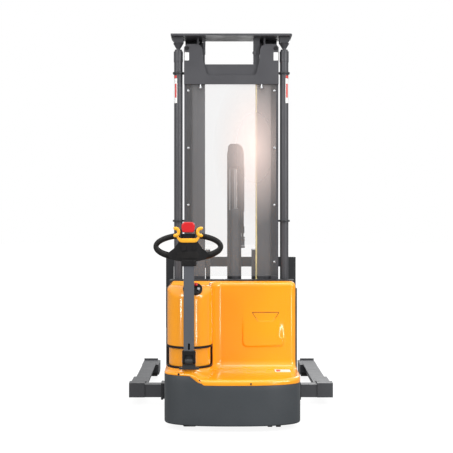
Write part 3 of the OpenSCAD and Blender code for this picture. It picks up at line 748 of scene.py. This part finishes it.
def wall_relief(x, z):
    """How far the wall stands out, towards the rear, at a place."""
    left, right, bottom, top, corner, foot = PANEL
    u = abs(x - (left + right) / 2) - (right - left) / 2 + corner
    v = abs(z - (bottom + top) / 2) - (top - bottom) / 2 + corner
    inside = corner - math.hypot(max(u, 0), max(v, 0)) - min(max(u, v), 0)
    soft = mix(0.008, 0.040, step_up(x, 0.15, 0.28)) if z > 0.47 else mix(0.008, 0.016, step_up(x, 0.15, 0.3))
    raised = foot * (1 - 0.96 * step_up(z, bottom + 0.03, top)) * step_up(inside, 0.0, soft)
    middle, half_top, half_bottom, low, high, depth = POCKET
    share = (z - low) / (high - low)
    if 0 < share < 1.0:
        half = mix(half_bottom, half_top, share)
        inward = min(half - abs(x - middle), high - z)
        groove = max(0.0, 1 - abs(inward - 0.003) / 0.004)
        raised -= depth * step_up(inward, 0.0, 0.004) + groove * GROOVE * step_up(share, 0.0, 0.25)
    return raised


def hood_column(upper, normal, share, kind, pod):
    """Points of one column, from the joint with the skirt up to the edge of the top."""
    toe = toe_point(share)
    away = toe - upper
    distance = max(away.length, 1e-6)
    direction = away / distance
    height = FLARE
    if kind == "tower":
        height = mix(FLARE, SHELF, step_up(upper.x, -0.232, -0.128))
    if kind in ("inner", "wall"):
        height = SHELF
    if share < 0.2:
        height = FLARE
    edge = mix(0.011, 0.021, step_up(toe.x, -0.33, -0.10))
    foot = {"flank": 0.012, "tower": 0.018, "inner": 0.042, "wall": 0.046}[kind]
    scale = min(1.0, distance * 0.96 / (edge + foot))
    edge *= scale
    foot *= scale
    bottom = seam_height(toe.x) + 0.0008
    points = []
    for step in range(4):
        points.append((toe, mix(bottom, height - edge, step / 4)))
    for step in range(9):
        angle = math.radians(90 * step / 8)
        points.append((toe - direction * (edge * (1 - math.cos(angle))),
                       height - edge + edge * math.sin(angle)))
    outer = toe - direction * edge
    inner = upper + direction * foot
    for step in range(1, 10):
        share_in = step / 10
        points.append((outer.lerp(inner, share_in), height + 0.0006 * math.sin(math.pi * share_in)))
    first = hood_heights()[0]
    rise = min(foot, first - height - 0.0005)
    for step in range(8):
        angle = math.radians(90 * step / 8)
        points.append((upper + direction * (foot * (1 - math.sin(angle))),
                       height + rise * (1 - math.cos(angle))))
    points += [(upper, level) for level in hood_heights()]
    crown = mix(0.027, 0.072, pod)
    last = hood_heights()[-1]
    top_start = max(last + 0.004, HOOD_TOP - crown)
    drop = HOOD_TOP - top_start
    for step in range(3):
        points.append((upper, mix(last, top_start, (step + 1) / 4)))
    for step in range(13):
        angle = math.radians(90 * step / 12)
        points.append((upper - normal * (crown * (1 - math.cos(angle))),
                       top_start + drop * math.sin(angle)))
    return points


def make_hood():
    """Glossy hood with its tower, shelf, slot and satin top, as one shell with thickness."""
    columns = hood_outline()
    plan = [column[0] for column in columns]
    normals = plan_normals(plan)
    grid = []
    for (upper, share, kind), normal in zip(columns, normals):
        facing = max(0.0, -normal.y)
        pod = step_up(facing, 0.10, 1.0) if kind == "tower" else 0.0
        grid.append(hood_column(upper, normal, share, kind, pod))
    rows = len(grid[0])
    vertices = []
    for (upper, share, kind), column in zip(columns, grid):
        for point, level in column:
            out = 0.0
            on_wall = kind == "wall" and abs(point.y - station(WALL)) < 1e-6
            if on_wall and SLOT_LOW < level:
                out = wall_relief(point.x, level)
            vertices.append((point.x, max(point.y - out, REAR + 0.0002), level))
    faces = []
    slot_edge = station(SLOT_END) - 1e-5
    for column in range(len(grid) - 1):
        middle = (plan[column] + plan[column + 1]) / 2
        in_slot = middle.y < slot_edge and columns[column][2] != "wall"
        for row in range(rows - 1):
            low, high = grid[column][row][1], grid[column][row + 1][1]
            upright = row >= 30
            if in_slot and upright and low >= SLOT_LOW - 1e-5 and high <= SLOT_HIGH + 1e-5:
                continue
            a = column * rows + row
            faces.append((a, a + rows, a + rows + 1, a + 1))
    faces.append(tuple(column * rows + rows - 1 for column in range(len(grid))))
    hood = make_piece("hood_shell", vertices, faces, "hood", "chassis", ("motor_hood",), 38)
    hood.data.materials.append(MATERIALS["hood_top"])
    for face in hood.data.polygons:
        if all(hood.data.vertices[index].co.z > HOOD_TOP - 0.0015 for index in face.vertices):
            face.material_index = 1
    skin = hood.modifiers.new("moulded_wall", "SOLIDIFY")
    skin.thickness = HOOD_SKIN
    skin.offset = -1
    return hood


def make_pocket_seam():
    """Painted shadow along the pocket's edge: a dark line that stands for the shade under it, down one
    slanted side, up to the top and down the other side.
    """
    middle, half_top, half_bottom, low, high, depth = POCKET
    corners = [(middle - half_bottom - 0.004, low + 0.004), (middle - half_top, high),
               (middle + half_top, high), (middle + half_bottom + 0.004, low + 0.004)]
    path = []
    for (first_x, first_z), (last_x, last_z) in zip(corners, corners[1:]):
        for step in range(12):
            x = mix(first_x, last_x, step / 12)
            z = mix(first_z, last_z, step / 12)
            path.append((x, station(WALL) - wall_relief(x, z) + 0.0002, z))

    def thick(share):
        return mix(0.0006, 0.0016, step_up(min(share, 1 - share), 0.0, 0.15))

    vertices, faces = tube(path, thick, 10)
    # A dark tube of painted shadow under the pocket's edge.
    make_piece("pocket_seam", vertices, faces, "seam", "chassis", (), 50)


# ---------- tiller head ----------

HANDLE_X = TILLER_X - 0.004
HANDLE_Z = 1.018
HANDLE_HALF = 0.193
HANDLE_RISE = 0.080
LOOP_RADIUS = 0.0145


def reach_y(reach):
    """Y of a place at a distance behind the steering axis."""
    return STEER_Y - reach


def on_head(u, v, w):
    """Places an outline drawn in sideways offset and height at a reach behind the steering axis."""
    return (HANDLE_X + u, reach_y(w), v)


def loop_radius(angle):
    """Half thickness of a loop at an angle above or below its outer end."""
    rise = math.sin(angle)
    return LOOP_RADIUS + (0.0015 * rise if rise > 0 else -0.0050 * rise)


def make_loops():
    """The two rubber loops that the operator holds, thicker where they meet the head's foot."""
    for side, name in ((-1, "left"), (1, "right")):
        path = []
        for step in range(61):
            angle = math.radians(mix(75, -73, step / 60))
            thick = loop_radius(angle)
            across = side * (HANDLE_HALF - thick) * math.cos(angle)
            rise = (HANDLE_RISE - thick) * math.sin(angle)
            path.append((HANDLE_X + across, reach_y(0.127), HANDLE_Z + rise))

        def along_loop(share):
            return loop_radius(math.radians(mix(75, -73, share)))

        vertices, faces = tube(path, along_loop, 22, squash=(0.76, 1.0), first_side=(0, 1, 0))
        make_piece("grip_loop_" + name, vertices, faces, "grip", "tiller",
                   ("grip_" + name,), 50)


def make_head():
    """Moulded body between the loops, with its neck round the top of the arm."""
    half = [(0.041, 0.938), (0.060, 0.940), (0.098, 0.949), (0.113, 0.972), (0.104, 0.990),
            (0.076, 1.011), (0.054, 1.042), (0.0405, 1.064), (0.0405, 1.093), (0.0375, 1.093),
            (0.0375, 1.0885)]
    outline = half + [(-u, v) for u, v in reversed(half)]
    radii = [0.004, 0.010, 0.012, 0.014, 0.010, 0.012, 0.012, 0.004, 0.001, 0.001, 0.001]
    outline = rounded_outline(outline, radii + radii[::-1], 5)
    vertices, faces = extrude(outline, 0.1142, 0.1498, on_head)
    body = make_piece("head_body", vertices, faces, "black", "tiller", ("tiller_head",), 30)
    bevel(body, 0.0035, 4, 50)
    neck = rounded_outline([(-0.041, 0.1142), (0.041, 0.1142), (0.041, 0.1715), (-0.041, 0.1715)], 0.010, 6)
    vertices, faces = extrude(neck, 0.9122, 0.944, lambda u, v, w: (TILLER_X + u, reach_y(v), w))
    bevel(make_piece("head_neck", vertices, faces, "black", "tiller", (), 30), 0.004, 3, 50)
    rib = rounded_outline([(-0.070, 0.955), (0.070, 0.955), (0.050, 0.990), (-0.050, 0.990)], 0.008, 5)
    vertices, faces = extrude(rib, 0.148, 0.1515, on_head)
    bevel(make_piece("head_badge_field", vertices, faces, "rubber", "tiller", (), 30),
          0.0012, 2, 50)
    for side in (-1, 1):
        ear = rounded_outline([(side * 0.037, 1.067), (side * 0.042, 1.067), (side * 0.042, 1.113),
                               (side * 0.037, 1.113)], 0.002, 4)
        if side < 0:
            ear.reverse()
        vertices, faces = extrude(ear, 0.1405, 0.1655, on_head)
        name = "throttle_bearing_" + ("left" if side < 0 else "right")
        bevel(make_piece(name, vertices, faces, "black", "tiller", (), 30), 0.002, 2, 50)


def make_belly_button():
    """Red reversing button at the top of the tiller head."""
    outline = rounded_outline([(-0.031, 1.0965), (0.031, 1.0965), (0.0365, 1.122), (0.0365, 1.140),
                               (0.024, 1.1538), (-0.024, 1.1538), (-0.0365, 1.140), (-0.0365, 1.122)],
                              [0.006, 0.006, 0.016, 0.012, 0.014, 0.014, 0.012, 0.016], 7)
    vertices, faces = extrude(outline, 0.1245, 0.1675, on_head)
    cap = make_piece("reverse_button", vertices, faces, "red", "belly", ("belly_button",), 30)
    bevel(cap, 0.008, 5, 50)


def make_throttles():
    """Butterfly paddles: a thick C on each side that opens outward, and its limb to the frame."""
    for side, name in ((-1, "left"), (1, "right")):
        centre = Vector((HANDLE_X + side * 0.0685, reach_y(0.157), 1.099))
        path = []
        for step in range(25):
            angle = math.radians(mix(-128, 128, step / 24))
            stretch = mix(1.0, 1.16, abs(step - 12) / 12)
            path.append(centre + Vector((-side * 0.0170 * stretch * math.cos(angle), 0,
                                         0.0172 * stretch * math.sin(angle))))

        def thick(share):
            tip = min(share, 1 - share)
            return 0.0098 * math.sqrt(max(0.02, 1 - max(0.0, 1 - tip / 0.07) ** 2))

        paddle = tube(path, thick, 16, squash=(0.75, 1.0), first_side=(0, 1, 0))
        stub = lathe([(0.0049, 0.0), (0.0049, 0.017)],
                     (HANDLE_X + side * 0.0400, reach_y(0.157), 1.099), (side, 0, 0), 20)
        vertices, faces = join([paddle, stub])
        make_piece("throttle_paddle_" + name, vertices, faces, "yellow", "throttle_" + name[0],
                   ("throttle_" + name,), 45)


def make_head_frame():
    """Yellow bar under the button, with an upswept limb at each end."""
    half = [(0.012, 1.0525), (0.024, 1.0525), (0.034, 1.0528), (0.042, 1.0545), (0.049, 1.0600),
            (0.055, 1.0680), (0.060, 1.0760), (0.064, 1.0830)]
    route = [(-u, v) for u, v in reversed(half)] + half
    path = [(HANDLE_X + u, reach_y(0.1538), v) for u, v in route]

    def thick(share):
        tip = min(share, 1 - share)
        return mix(0.0070, 0.0122, step_up(tip, 0.12, 0.32))

    vertices, faces = tube(path, thick, 18, squash=(0.36, 1.0), first_side=(0, 1, 0))
    make_piece("control_frame", vertices, faces, "yellow", "tiller", ("head_frame",), 50)


def make_dash():
    """Tilted pod with the emergency stop, the key and the battery gauge."""
    tilt = Matrix.Rotation(math.radians(45), 4, "X")
    place = Matrix.Translation((-0.221, station(0.079), 0.780)) @ tilt

    def on_dash(u, v, w):
        return place @ Vector((u, v, w))

    centre = Vector(on_dash(0, 0, 0))
    axis = on_dash(0, 0, 1) - centre
    outline = rounded_outline([(-0.054, -0.040), (0.054, -0.040), (0.054, 0.040), (-0.054, 0.040)],
                              0.0398, 14)
    vertices, faces = extrude(outline, -0.007, 0.0098, on_dash)
    pod = make_piece("dash_pod", vertices, faces, "black", "chassis", ("dash_panel",), 30)
    bevel(pod, 0.0035, 3, 50)
    gauge_at = on_dash(-0.020, 0, 0.0065)
    gauge = [(0.0188, 0), (0.0188, 0.0045), (0.0175, 0.0058), (0.0155, 0.0058), (0.0152, 0.0040),
             (0.0, 0.0046)]
    vertices, faces = lathe(gauge, gauge_at, axis, 40, False)
    make_piece("gauge_face", vertices, faces, "lens", "chassis", ("battery_gauge",), 30)
    stop_at = on_dash(0.018, 0.020, 0)
    mushroom = [(0.0048, 0.0072), (0.0048, 0.014), (0.0095, 0.0155), (0.0108, 0.018), (0.0108, 0.021),
                (0.0090, 0.0236), (0.0045, 0.0249), (0.0, 0.0250)]
    vertices, faces = lathe(mushroom, stop_at, axis, 36, False)
    make_piece("stop_mushroom", vertices, faces, "red", "estop", ("estop_button",), 40)
    key_at = on_dash(0.033, -0.009, 0)
    barrel = lathe([(0.0058, -0.006), (0.0058, 0.0105), (0.0090, 0.0112), (0.0090, 0.0150), (0.0080, 0.0165),
                    (0.0, 0.0165)], key_at, axis, 32, False)
    bow_outline = rounded_outline([(-0.0055, 0.0150), (0.0055, 0.0150), (0.0058, 0.0245), (-0.0058, 0.0245)],
                                  0.003, 4)
    bow = extrude(bow_outline, -0.0012, 0.0012, lambda u, v, w: on_dash(0.033 + w, -0.009 + u, v))
    vertices, faces = join([barrel, bow])
    make_piece("key_and_barrel", vertices, faces, "zinc", "key", ("key_switch",), 35)


# ---------- mast details ----------

STRAND_LEFT = -0.016
STRAND_RIGHT = 0.072
FREE_X = 0.028
SHEAVE_Z = 1.575
chain_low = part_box("lift_chain")[0]
head_low, head_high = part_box("freelift_head")
FREE_Y = (head_low.y + head_high.y) / 2


def chain_links(points, depth=0.0125):
    """Leaf chain along points one pitch apart: alternating plate packs on round pins."""
    parts = []
    for index in range(len(points) - 1):
        first, last = points[index], points[index + 1]
        along = (last - first).normalized()
        across = Vector((along.z, 0, -along.x))
        half_length = (last - first).length / 2
        middle = (first + last) / 2
        outline = []
        for end, start_angle in ((1, -90), (-1, 90)):
            for step in range(5):
                angle = math.radians(start_angle + 45 * step)
                outline.append((end * half_length + 0.0078 * math.cos(angle), 0.0078 * math.sin(angle)))
        spots = (-0.0104, 0.0, 0.0104) if index % 2 else (-0.0130, -0.0052, 0.0052, 0.0130)
        for spot in spots:
            thick = 0.0022 if abs(spot) < depth else 0.0009

            def place(u, v, w, middle=middle, along=along, across=across):
                return middle + along * u + across * v + Vector((0, w, 0))

            parts.append(extrude(outline, spot - thick, spot + thick, place))
        parts.append(lathe([(0.0022, -0.0139), (0.0022, 0.0139)], first, (0, 1, 0), 8))
    return join(parts)


def make_chain():
    """Two strands and the turn over the sheave."""
    pitch = 0.0159
    wrap = 0.0435
    turn = []
    steps = round(math.pi * wrap / pitch)
    for step in range(steps + 1):
        angle = math.pi * step / steps
        turn.append(Vector((FREE_X + wrap * math.cos(angle), FREE_Y, SHEAVE_Z + wrap * math.sin(angle))))
    vertices, faces = chain_links(turn)
    make_piece("chain_over_sheave", vertices, faces, "chain", "freelift", (), 30)
    for name, x, low, bodies in (("left", STRAND_LEFT, chain_low.z, ("lift_carriage", "freelift")),
                                 ("right", STRAND_RIGHT, 1.105, ("inner_mast", "freelift"))):
        count = round((SHEAVE_Z - low) / pitch)
        points = [Vector((x, FREE_Y, mix(low, SHEAVE_Z, step / count))) for step in range(count + 1)]
        vertices, faces = chain_links(points)
        strand = make_piece("chain_strand_" + name, vertices, faces, "chain", None,
                            ("lift_chain",), 30)
        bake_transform(strand)


def make_chain_anchor():
    """Clevis and threaded rod with two nuts that hold the right strand on the barrel's bracket."""
    clevis = rounded_outline([(-0.011, 1.082), (0.011, 1.082), (0.011, 1.118), (0.006, 1.128),
                              (-0.006, 1.128), (-0.011, 1.118)], 0.003, 3)
    side_plates = [extrude(clevis, w - 0.003, w + 0.003,
                           lambda u, v, w2: (STRAND_RIGHT + u, FREE_Y + w2, v)) for w in (-0.016, 0.016)]
    sole = rounded_outline([(-0.011, -0.018), (0.011, -0.018), (0.011, 0.018), (-0.011, 0.018)], 0.003, 3)
    foot = extrude(sole, 1.078, 1.088, lambda u, v, w: (STRAND_RIGHT + u, FREE_Y + v, w))
    rod = lathe([(0.007, 1.000), (0.007, 1.082)], (STRAND_RIGHT, FREE_Y, 0), (0, 0, 1), 16)
    nuts = [lathe([(0.0125, low), (0.0140, low + 0.0015), (0.0140, low + 0.0095), (0.0125, low + 0.011)],
                  (STRAND_RIGHT, FREE_Y, 0), (0, 0, 1), 6) for low in (1.0303, 1.0440, 0.9865)]
    vertices, faces = join([*side_plates, foot, rod, *nuts])
    make_piece("chain_anchor", vertices, faces, "chain", "inner_mast", (), 30)


def make_free_lift_head():
    """Cheek plates with round shoulders over the sheave, the block under them and the chrome rod."""
    half = 0.047
    top = head_high.z
    outline = rounded_outline([(-half, 1.4805), (half, 1.4805), (half, top), (-half, top)],
                              [0.002, 0.002, 0.042, 0.024], 9)
    cheeks = [extrude(outline, low, low + 0.006, lambda u, v, w: (FREE_X + u, w, v))
              for low in (head_low.y, head_high.y - 0.006)]
    block = extrude(rounded_outline([(-0.034, head_low.y), (0.034, head_low.y), (0.034, head_high.y),
                                     (-0.034, head_high.y)], 0.003, 3), 1.4785, 1.4975,
                    lambda u, v, w: (FREE_X + u, v, w))
    pin = lathe([(0.0108, head_low.y - 0.0), (0.0108, head_high.y)], (FREE_X, 0, SHEAVE_Z), (0, 1, 0), 28)
    vertices, faces = join([*cheeks, block, pin])
    made = make_piece("free_lift_head", vertices, faces, "mast", "freelift",
                      ("freelift_head",), 30)
    bevel(made, 0.0012, 2, 50)
    vertices, faces = lathe([(0.0198, 0.421), (0.0198, 1.4785)], (FREE_X, FREE_Y, 0), (0, 0, 1), 48)
    make_piece("free_lift_rod", vertices, faces, "chrome", "freelift", (), 30)


def make_screws():
    """Button-head screws of the guard and hood, rubber-seated stop bolts and the socket bolts."""
    parts = []
    for height in (0.905, 1.252, 1.599, 1.946):
        for side in (-1, 1):
            parts.append(screw_head((side * 0.261, guard_low.y, height), (0, -1, 0), 0.0075, 0.0038))
    vertices, faces = join(parts)
    make_piece("guard_screws", vertices, faces, "zinc", "chassis", ("screws",), 40)
    parts = []
    for x, height in ((-0.297, 0.316), (-0.182, 0.286), (0.100, 0.268)):
        depth = SKIRT_ROUND * (1 - (abs(x) / HALF_SKIRT) ** SKIRT_POWER) ** (1 / SKIRT_POWER)
        slope = Vector((x / HALF_SKIRT * 0.62, -1, 0)).normalized()
        y = max(station(SKIRT_ROUND) - depth, REAR + 0.0035)
        parts.append(screw_head((x, y, height), slope, 0.0062, 0.003))
    vertices, faces = join(parts)
    make_piece("hood_screws", vertices, faces, "dark", "chassis", (), 40)
    parts = []
    for x in (-0.187, 0.183):
        profile = [(0.0032, 1.9848), (0.0034, 1.981), (0.0050, 1.976), (0.0090, 1.9640), (0.0094, 1.9600),
                   (0.0075, 1.9575), (0.0, 1.9570)]
        parts.append(lathe(profile, (x, station(0.561), 0), (0, 0, 1), 24, False))
    vertices, faces = join(parts)
    make_piece("guard_stop_bolts", vertices, faces, "zinc", "chassis", ("hex_bolts",), 40)
    parts = []
    for x in (-0.350, -0.300, 0.300, 0.350):
        for radius, low, high, steps in ((0.0125, 0.1381, 0.1400, 24), (0.0098, 0.1400, 0.1466, 6)):
            parts.append(lathe([(radius, low), (radius, high - 0.0008), (radius - 0.001, high)],
                               (x, station(0.780), 0), (0, 0, 1), steps))
    vertices, faces = join(parts)
    make_piece("socket_bolts", vertices, faces, "zinc", "chassis", (), 30)


def screw_head(place, out, radius, height):
    """Dome with a hexagon socket, standing on a washer rim."""
    shares = [(1.0, 0.0), (1.0, 0.25), (0.92, 0.55), (0.72, 0.85), (0.50, 1.0), (0.44, 0.98), (0.40, 0.45),
              (0.0, 0.4)]
    profile = [(radius * across, height * up) for across, up in shares]
    return lathe(profile, place, out, 24, False)


def make_labels():
    """Plain stickers without any lettering, on the yoke, the lift cylinders and the hood."""
    for side, name in ((-1, "left"), (1, "right")):
        sheet("yoke_label_" + name, side * 0.270, 0.027, (2.129, 2.178), yoke_low.y - 0.0004, "label")
        for part, low, high, look, turn, lift in (
                ("plate", 1.872, 2.022, "label", (14, 82), 0.0002),
                ("stripe", 1.905, 1.990, "label_red", (22, 50), 0.0005),
                ("mark", 2.024, 2.040, "label_red", (20, 70), 0.0002)):
            curved_label(f"cylinder_label_{part}_{name}", side, (low, high), look, turn, lift)
    for name, left, right, rear, front, look, lift in (
            ("hood_label", 0.248, 0.338, 0.268, 0.346, "label", 0.0),
            ("hood_label_mark", 0.256, 0.280, 0.280, 0.334, "label_red", 0.0003)):
        outline = rounded_outline([(left, station(rear)), (right, station(rear)), (right, station(front)),
                                   (left, station(front))], 0.004, 3)
        level = SHELF + 0.0009 + lift
        vertices, faces = extrude(outline, level - 0.0008, level, lambda u, v, w: (u, v, w))
        make_piece(name, vertices, faces, look, "chassis", (), 30)


def sheet(name, middle, width, heights, y, look):
    """Flat upright sticker on a rear face."""
    left, right = middle - width / 2, middle + width / 2
    low, high = heights
    outline = rounded_outline([(left, low), (right, low), (right, high), (left, high)], 0.002, 3)
    vertices, faces = extrude(outline, y, y + 0.0008, lambda u, v, w: (u, w, v))
    make_piece(name, vertices, faces, look, "chassis", (), 30)


CYLINDER_X = 0.323
CYLINDER_R = 0.026


def curved_label(name, side, heights, look, turn, lift):
    """Sticker wrapped on the outer rear side of a lift cylinder, turned from the rear outwards."""
    centre = Vector((side * CYLINDER_X, station(0.600), 0))
    steps = 14
    vertices = []
    for step in range(steps + 1):
        angle = math.radians(mix(*turn, step / steps))
        direction = Vector((side * math.sin(angle), -math.cos(angle), 0))
        for radius in (CYLINDER_R + lift, CYLINDER_R + lift + 0.0003):
            for height in heights:
                spot = centre + direction * radius
                vertices.append((spot.x, spot.y, height))
    faces = []
    for step in range(steps):
        a, b = step * 4, step * 4 + 4
        faces += [(a, a + 1, b + 1, b), (a + 2, b + 2, b + 3, a + 3), (a, b, b + 2, a + 2),
                  (a + 1, a + 3, b + 3, b + 1)]
    faces += [(0, 2, 3, 1), (steps * 4, steps * 4 + 1, steps * 4 + 3, steps * 4 + 2)]
    make_piece(name, vertices, faces, look, "chassis", (), 30)


def make_crosshead_brackets():
    """Dark stiffeners under the far edge of the crosshead, and round bosses on the yoke's ears."""
    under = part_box("crosshead_plate")[1].z - 0.0118
    for side, name in ((-1, "left"), (1, "right")):
        corners = [(0.176, under), (0.176, under - 0.060), (0.196, under - 0.082), (0.262, under - 0.082),
                   (0.284, under - 0.050), (0.284, under)]
        outline = rounded_outline([(side * u, v) for u, v in corners][::side],
                                  [0.002, 0.010, 0.010, 0.012, 0.012, 0.002][::side], 5)
        vertices, faces = extrude(outline, station(0.699), station(0.707), lambda u, v, w: (u, w, v))
        bracket = make_piece("crosshead_bracket_" + name, vertices, faces, "frame", "inner_mast",
                             (), 30)
        bevel(bracket, 0.0012, 2, 50)
        boss = [(0.0125, 0.0), (0.0125, 0.0035), (0.0112, 0.0050), (0.0070, 0.0050), (0.0062, 0.0030),
                (0.0, 0.0030)]
        vertices, faces = lathe(boss, (side * 0.269, yoke_low.y + 0.0005, 2.203), (0, -1, 0), 32, False)
        make_piece("yoke_boss_" + name, vertices, faces, "dark", "chassis", (), 30)


def make_hose_guide():
    """Folded dark plate on the free-lift head that carries the hoses behind the rod."""
    left, right = FREE_X - 0.034, FREE_X + 0.056
    rear, front = FREE_Y + 0.0385, FREE_Y + 0.0415
    lip = rear - 0.004
    section = [(left, lip), (left + 0.002, lip), (left + 0.002, rear), (right - 0.002, rear),
               (right - 0.002, lip), (right, lip), (right, front), (left, front)]
    vertices, faces = extrude(section, 1.212, 1.500, lambda u, v, w: (u, v, w))
    plate = make_piece("hose_guide", vertices, faces, "mast", "freelift", (), 30)
    bevel(plate, 0.0006, 2, 50)


# ---------- looks of the CAD solids ----------

def finish_cad(node, look, width=0.0015, segments=2, sharp=30.0):
    """Material, rounded edges and clean shading on a CAD solid, without touching its shape."""
    solid = nodes[node]
    mesh = solid.data
    mesh.materials.clear()
    mesh.materials.append(MATERIALS[look])
    for face in mesh.polygons:
        face.material_index = 0
        face.use_smooth = True
    weld = solid.modifiers.new("weld", "WELD")
    weld.merge_threshold = 0.00001
    if width:
        rounded = solid.modifiers.new("rounded_edges", "BEVEL")
        rounded.width = width
        rounded.segments = segments
        rounded.limit_method = "ANGLE"
        rounded.angle_limit = math.radians(sharp)
        rounded.use_clamp_overlap = True
        rounded.harden_normals = False
    weighted = solid.modifiers.new("flat_faces", "WEIGHTED_NORMAL")
    weighted.keep_sharp = True


CAD_LOOKS = {
    "frame": ("base_frame", "battery_box", "leg_sockets", "cylinder_clamps", "caster_fork", "steer_bearing",
              "drive_gearbox", "tiller_base", "motor_controller", "carriage"),
    "mast": ("outer_channels", "yoke_plate", "lift_cylinders", "inner_beams", "crosshead_plate",
             "freelift_barrel"),
    "legs": ("leg_left", "leg_right"),
    "forks": ("fork_left", "fork_right"),
    "arm": ("tiller_arm",),
    "black": ("battery", "gas_spring", "tiller_knuckle", "lift_rocker", "horn_button"),
    "rubber": ("slot_trim",),
    "tyre": ("drive_tyre", "caster_wheels", "load_wheel_left", "load_wheel_right"),
    "hood": ("tiller_shroud",),
    "chrome": ("lift_rods",),
    "steel": ("outer_rollers", "inner_rollers", "pivot_pin", "chain_sheave", "pump_motor", "traction_motor"),
    "aluminium": ("drive_hub", "oil_tank"),
    "clear": ("mast_guard",),
    "hose": ("mast_hose",),
}
ROUNDING = {"leg_left": 0.004, "leg_right": 0.004, "tiller_arm": 0.004, "yoke_plate": 0.003,
            "crosshead_plate": 0.003, "drive_tyre": 0.006, "caster_wheels": 0.005,
            "load_wheel_left": 0.005, "load_wheel_right": 0.005, "battery": 0.006, "oil_tank": 0.008,
            "tiller_knuckle": 0.003, "mast_guard": 0.0006, "slot_trim": 0.0008, "lift_rocker": 0.002,
            "horn_button": 0.002, "fork_left": 0.004, "fork_right": 0.004, "outer_channels": 0.002,
            "inner_beams": 0.0018, "carriage": 0.0025, "leg_sockets": 0.003, "mast_hose": 0.0005,
            "tiller_shroud": 0.0015}


def finish_all_cad():
    """Gives each visible CAD solid its material and its rounding."""
    for look, names in CAD_LOOKS.items():
        for name in names:
            finish_cad(name, look, ROUNDING.get(name, 0.0015))


# ---------- the whole object ----------

make_camera()
make_studio()
make_skirt()
make_hood()
make_pocket_seam()
make_loops()
make_head()
make_belly_button()
make_throttles()
make_head_frame()
make_dash()
make_chain()
make_chain_anchor()
make_free_lift_head()
make_screws()
make_labels()
make_crosshead_brackets()
make_hose_guide()
finish_all_cad()
